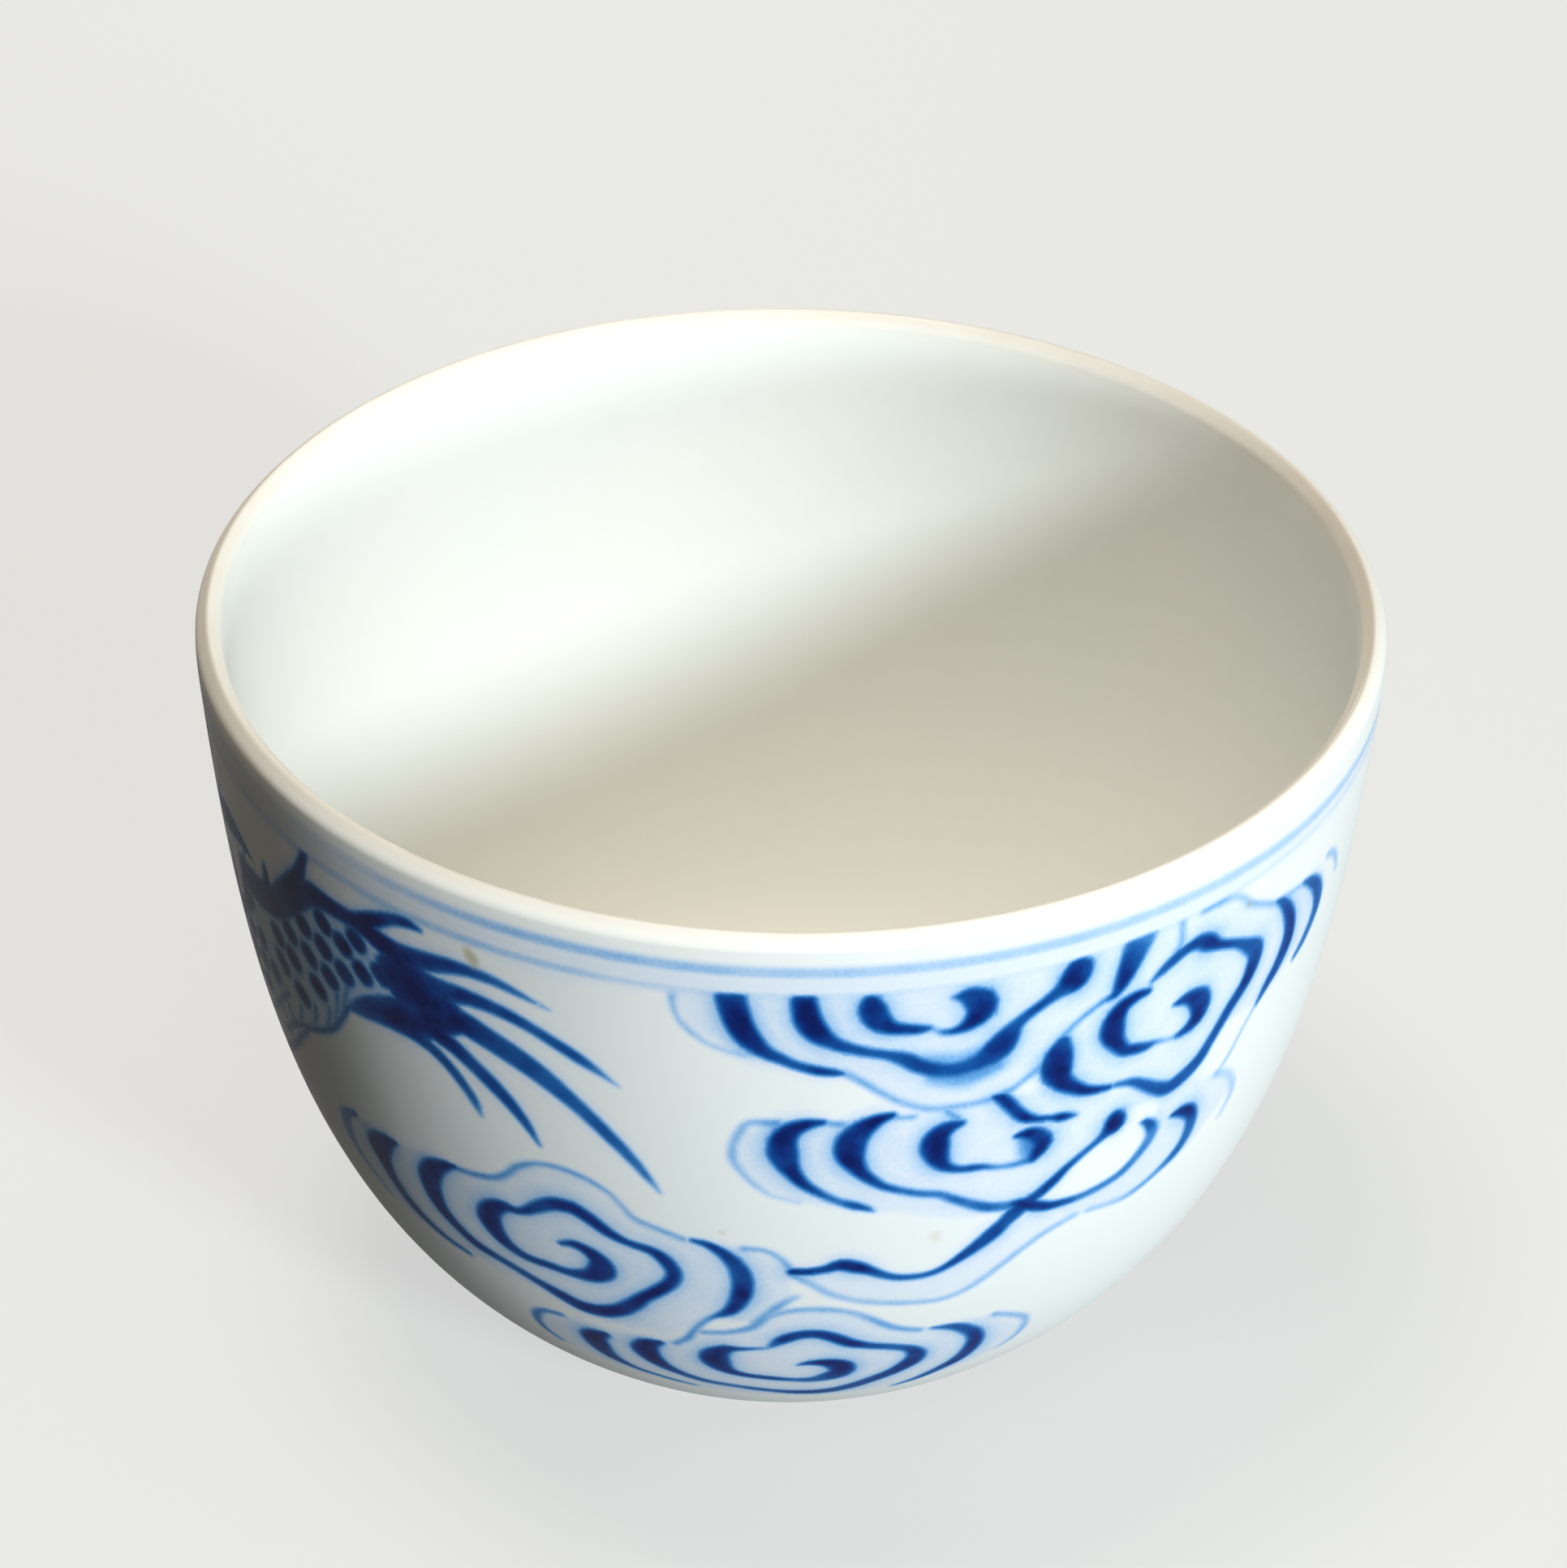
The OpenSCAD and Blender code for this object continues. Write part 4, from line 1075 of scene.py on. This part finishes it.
def glaze(name, painted):
    """Glossy glaze over white clay, cream on the lip where it thins and darkened there as painted shade; if
    painted, cobalt, rust and a lighter white that is painted light.
    """
    n = new_material(name)
    # The outer wall's white is painted lighter than the same glaze elsewhere, as painted light
    whites = (OUTER_WHITE_PAINTED_LIGHTER, OUTER_POOL_PAINTED_LIGHTER) if painted else (GLAZE_WHITE, GLAZE_POOL)
    white = n.mix(n.spread(n.noise(22 * MM, 2), 0.35, 0.7), *whites)
    colour = white
    if painted:
        blue = n.attribute("cobalt")
        pooled = n.spread(n.noise(2.6 * MM, 2), 0.3, 0.7, 0.88, 1.06)
        rim = n.math("MULTIPLY", blue, n.math("SUBTRACT", 1.0, blue))
        grain = n.math("MULTIPLY", rim, n.spread(n.noise(0.3 * MM, 2), 0.25, 0.75, -0.12, 0.12))
        depth = n.math("ADD", n.math("MULTIPLY", blue, pooled), grain)
        inked = n.ramp(depth, COBALT)
        colour = n.mix(n.spread(depth, 0.0, 0.06), white, inked)
        colour = n.mix(n.attribute("rust"), colour, RUST)
    # The lip's cream of thin glaze, also painted shade that darkens the crown
    cream_and_painted_shade = n.math("MULTIPLY", n.attribute("cream_and_painted_shade"), n.spread(n.noise(5 * MM, 3), 0.3, 0.7, 0.7, 1.0))
    colour = n.mix(cream_and_painted_shade, colour, LIP_CREAM_AND_PAINTED_SHADE)
    dimple = n.math("ADD", n.noise(2.2 * MM, 1), n.math("MULTIPLY", n.noise(7 * MM, 1), 1.6))
    return n.finish("ShaderNodeBsdfPrincipled", {
        "Base Color": colour, "Roughness": 0.32, "IOR": 1.5, "Coat Weight": 0.14, "Coat Roughness": 0.05,
        "Coat IOR": 1.5, "Specular IOR Level": 0.0, "Normal": n.bump(dimple, 0.012 * MM),
    })


def clay(name, base, dark):
    """Matt fired clay with a grain of darker grit."""
    n = new_material(name)
    tone = n.mix(n.spread(n.noise(3 * MM, 4), 0.3, 0.7), base, dark)
    grit = n.spread(n.noise(0.25 * MM, 2), 0.66, 0.72, 0.0, 0.5)
    tone = n.mix(grit, tone, GRIT)
    return n.finish("ShaderNodeBsdfPrincipled", {
        "Base Color": tone, "Roughness": 0.85, "Specular IOR Level": 0.3,
        "Normal": n.bump(n.noise(0.3 * MM, 3), 0.03 * MM),
    })


def finish_piece(piece, material, slot, *nodes):
    piece.data.materials.clear()
    piece.data.materials.append(material)
    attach(piece, "root")
    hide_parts(*nodes)


outer = painted_wall()
lip_piece = lathe("rounded_lip", lip(), lip(GLAZE_T)[0][::-1])
inner_front = joined(inner_wall(), floor_bend())
inner_back = joined(inner_wall(GLAZE_T, BACK_STEPS), floor_bend(GLAZE_T))
inner_piece = lathe("bowl_glaze", inner_front, inner_back[0][::-1])
well_piece = lathe("foot_well_glaze", well(), np.concatenate([clay_side(-1), [[0, FOOT_H]]]))
# Cream of the thin glaze and painted shade, fading with distance from the crown
for piece in (outer, lip_piece, inner_piece, well_piece):
    set_values(piece, "cream_and_painted_shade", np.exp(-(crown_distance(piece) / LIP_FADE) ** 2))

painted = glaze("cobalt_painted_glaze", True)
plain = glaze("clear_glaze", False)
finish_piece(outer, painted, "white_glaze", "outer_glaze", "upper_rim_line", "lower_rim_line")
finish_piece(lip_piece, plain, "lip_glaze", "lip_glaze")
finish_piece(inner_piece, plain, "white_glaze", "inner_glaze")
finish_piece(well_piece, plain, "white_glaze", "well_glaze")

for node, material in (
    ("body", clay("fired_clay", *BODY_CLAY)),
    ("foot_ring", clay("bare_foot_clay", *FOOT_CLAY)),
):
    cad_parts[node].data.materials.clear()
    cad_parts[node].data.materials.append(material)


# The floor returns less light than it shows, as a table would. The room is bright only overhead.
FLOOR_BOUNCE = (0.022, 0.02, 0.015)
FLOOR_TONES = ((0.60, 0.61, 0.59), (0.63, 0.64, 0.62))
FLOOR_PALE = (0.96, 0.97, 0.96, 1)
FLOOR_PALE_SHARE = 0.62
FLOOR_HALF = 3.0
ROOM_LIGHT = (1.0, 0.85, 0.67, 1)
ROOM_OVERHEAD = 1.4
ROOM_FROM, ROOM_TO = 0.84, 0.99
# Name, azimuth and elevation in degrees, distance, width and height in metres, power in watts, and colour
COOL = (0.89, 0.97, 1.0)
LAMPS = [
    ("key_lamp", 37.5, 22.5, 2.0, 0.36, 0.36, 30.3, COOL),
    ("fill_lamp", 33, 3.5, 2.0, 0.6, 0.2, 15.5, COOL),
    ("sky_lamp", -90, 81, 1.5, 0.5, 0.5, 9.2, (1.0, 0.88, 0.73)),
    ("back_lamp", 186, 5, 2.0, 0.8, 0.3, 12, (0.95, 0.98, 1.0)),
]


def add_floor():
    n = new_material("stage_floor")
    seen = n.seen()
    grain = n.spread(n.noise(0.4, 2), 0.3, 0.7)
    tone = n.mix(seen, FLOOR_BOUNCE, n.mix(grain, *FLOOR_TONES))
    matt = n.add("ShaderNodeBsdfPrincipled", {
        "Base Color": tone, "Roughness": 0.6, "Specular IOR Level": 0.1,
    })
    pale = n.add("ShaderNodeEmission", {"Color": FLOOR_PALE, "Strength": 1.0})
    share = n.math("MULTIPLY", seen, FLOOR_PALE_SHARE)
    mesh = bpy.data.meshes.new("stage_floor")
    corners = [(x * FLOOR_HALF, y * FLOOR_HALF, 0) for x, y in ((-1, -1), (1, -1), (1, 1), (-1, 1))]
    mesh.from_pydata(corners, [], [(0, 1, 2, 3)])
    mesh.materials.append(n.finish("ShaderNodeMixShader", {0: share, 1: matt.outputs[0], 2: pale.outputs[0]}))
    floor = bpy.data.objects.new("stage_floor", mesh)
    bpy.context.scene.collection.objects.link(floor)


def add_lamp(name, azimuth, elevation, distance, width, height, power, colour):
    """An oval soft lamp that faces the cup. Azimuth 0 is the front, and 90 is +x."""
    a, e = math.radians(azimuth), math.radians(elevation)
    towards = Vector((math.sin(a) * math.cos(e), -math.cos(a) * math.cos(e), math.sin(e)))
    light = bpy.data.lights.new(name, "AREA")
    light.shape = "ELLIPSE"
    light.size, light.size_y, light.energy, light.color = width, height, power, colour
    lamp = bpy.data.objects.new(name, light)
    lamp.location = Vector((0, 0, 0.6 * CUP_H)) + distance * towards
    lamp.rotation_mode = "QUATERNION"
    lamp.rotation_quaternion = (-towards).to_track_quat("-Z", "Y")
    bpy.context.scene.collection.objects.link(lamp)


def add_world():
    """A room that is brighter overhead than at the horizon, against a white background."""
    n = Nodes(bpy.data.worlds.new("studio"), "World")
    way = n.add("ShaderNodeTexCoord").outputs["Generated"]
    level = n.add("ShaderNodeMapRange", {
        "Value": n.add("ShaderNodeSeparateXYZ", {0: way}).outputs["Z"],
        "From Min": ROOM_FROM, "From Max": ROOM_TO, "To Min": 0.0, "To Max": ROOM_OVERHEAD,
    }, interpolation_type="SMOOTHSTEP").outputs[0]
    room = n.add("ShaderNodeBackground", {"Color": ROOM_LIGHT, "Strength": level}).outputs[0]
    white = n.add("ShaderNodeBackground", {"Color": (1, 1, 1, 1)}).outputs[0]
    bpy.context.scene.world = n.finish("ShaderNodeMixShader", {0: n.seen(), 1: room, 2: white})


# The photograph's camera, from its focal length in pixels and its place about the cup
PHOTO_LONG_SIDE_PX = 1932
FOCAL_PX = 5600
SENSOR_W = 36
VIEW_ELEVATION = math.radians(34.53)
VIEW_ROLL = math.radians(0.701)
VIEW_DISTANCE = 7.858 * RIM_R
VIEW_TARGET = Vector((-0.0099 * RIM_R, 0, 1.012 * RIM_R))


def add_camera():
    data = bpy.data.cameras.new("camera")
    data.sensor_width = SENSOR_W
    data.lens = FOCAL_PX / PHOTO_LONG_SIDE_PX * SENSOR_W
    camera = bpy.data.objects.new("camera", data)
    back = Vector((0, -math.cos(VIEW_ELEVATION), math.sin(VIEW_ELEVATION)))
    camera.location = VIEW_TARGET + VIEW_DISTANCE * back
    camera.rotation_mode = "QUATERNION"
    camera.rotation_quaternion = (-back).to_track_quat("-Z", "Y") @ Quaternion((0, 0, 1), VIEW_ROLL)
    data.clip_start, data.clip_end = 0.01, 20
    bpy.context.scene.collection.objects.link(camera)
    bpy.context.scene.camera = camera


add_floor()
for lamp in LAMPS:
    add_lamp(*lamp)
add_world()
add_camera()
bpy.context.scene.view_settings.view_transform = "Standard"
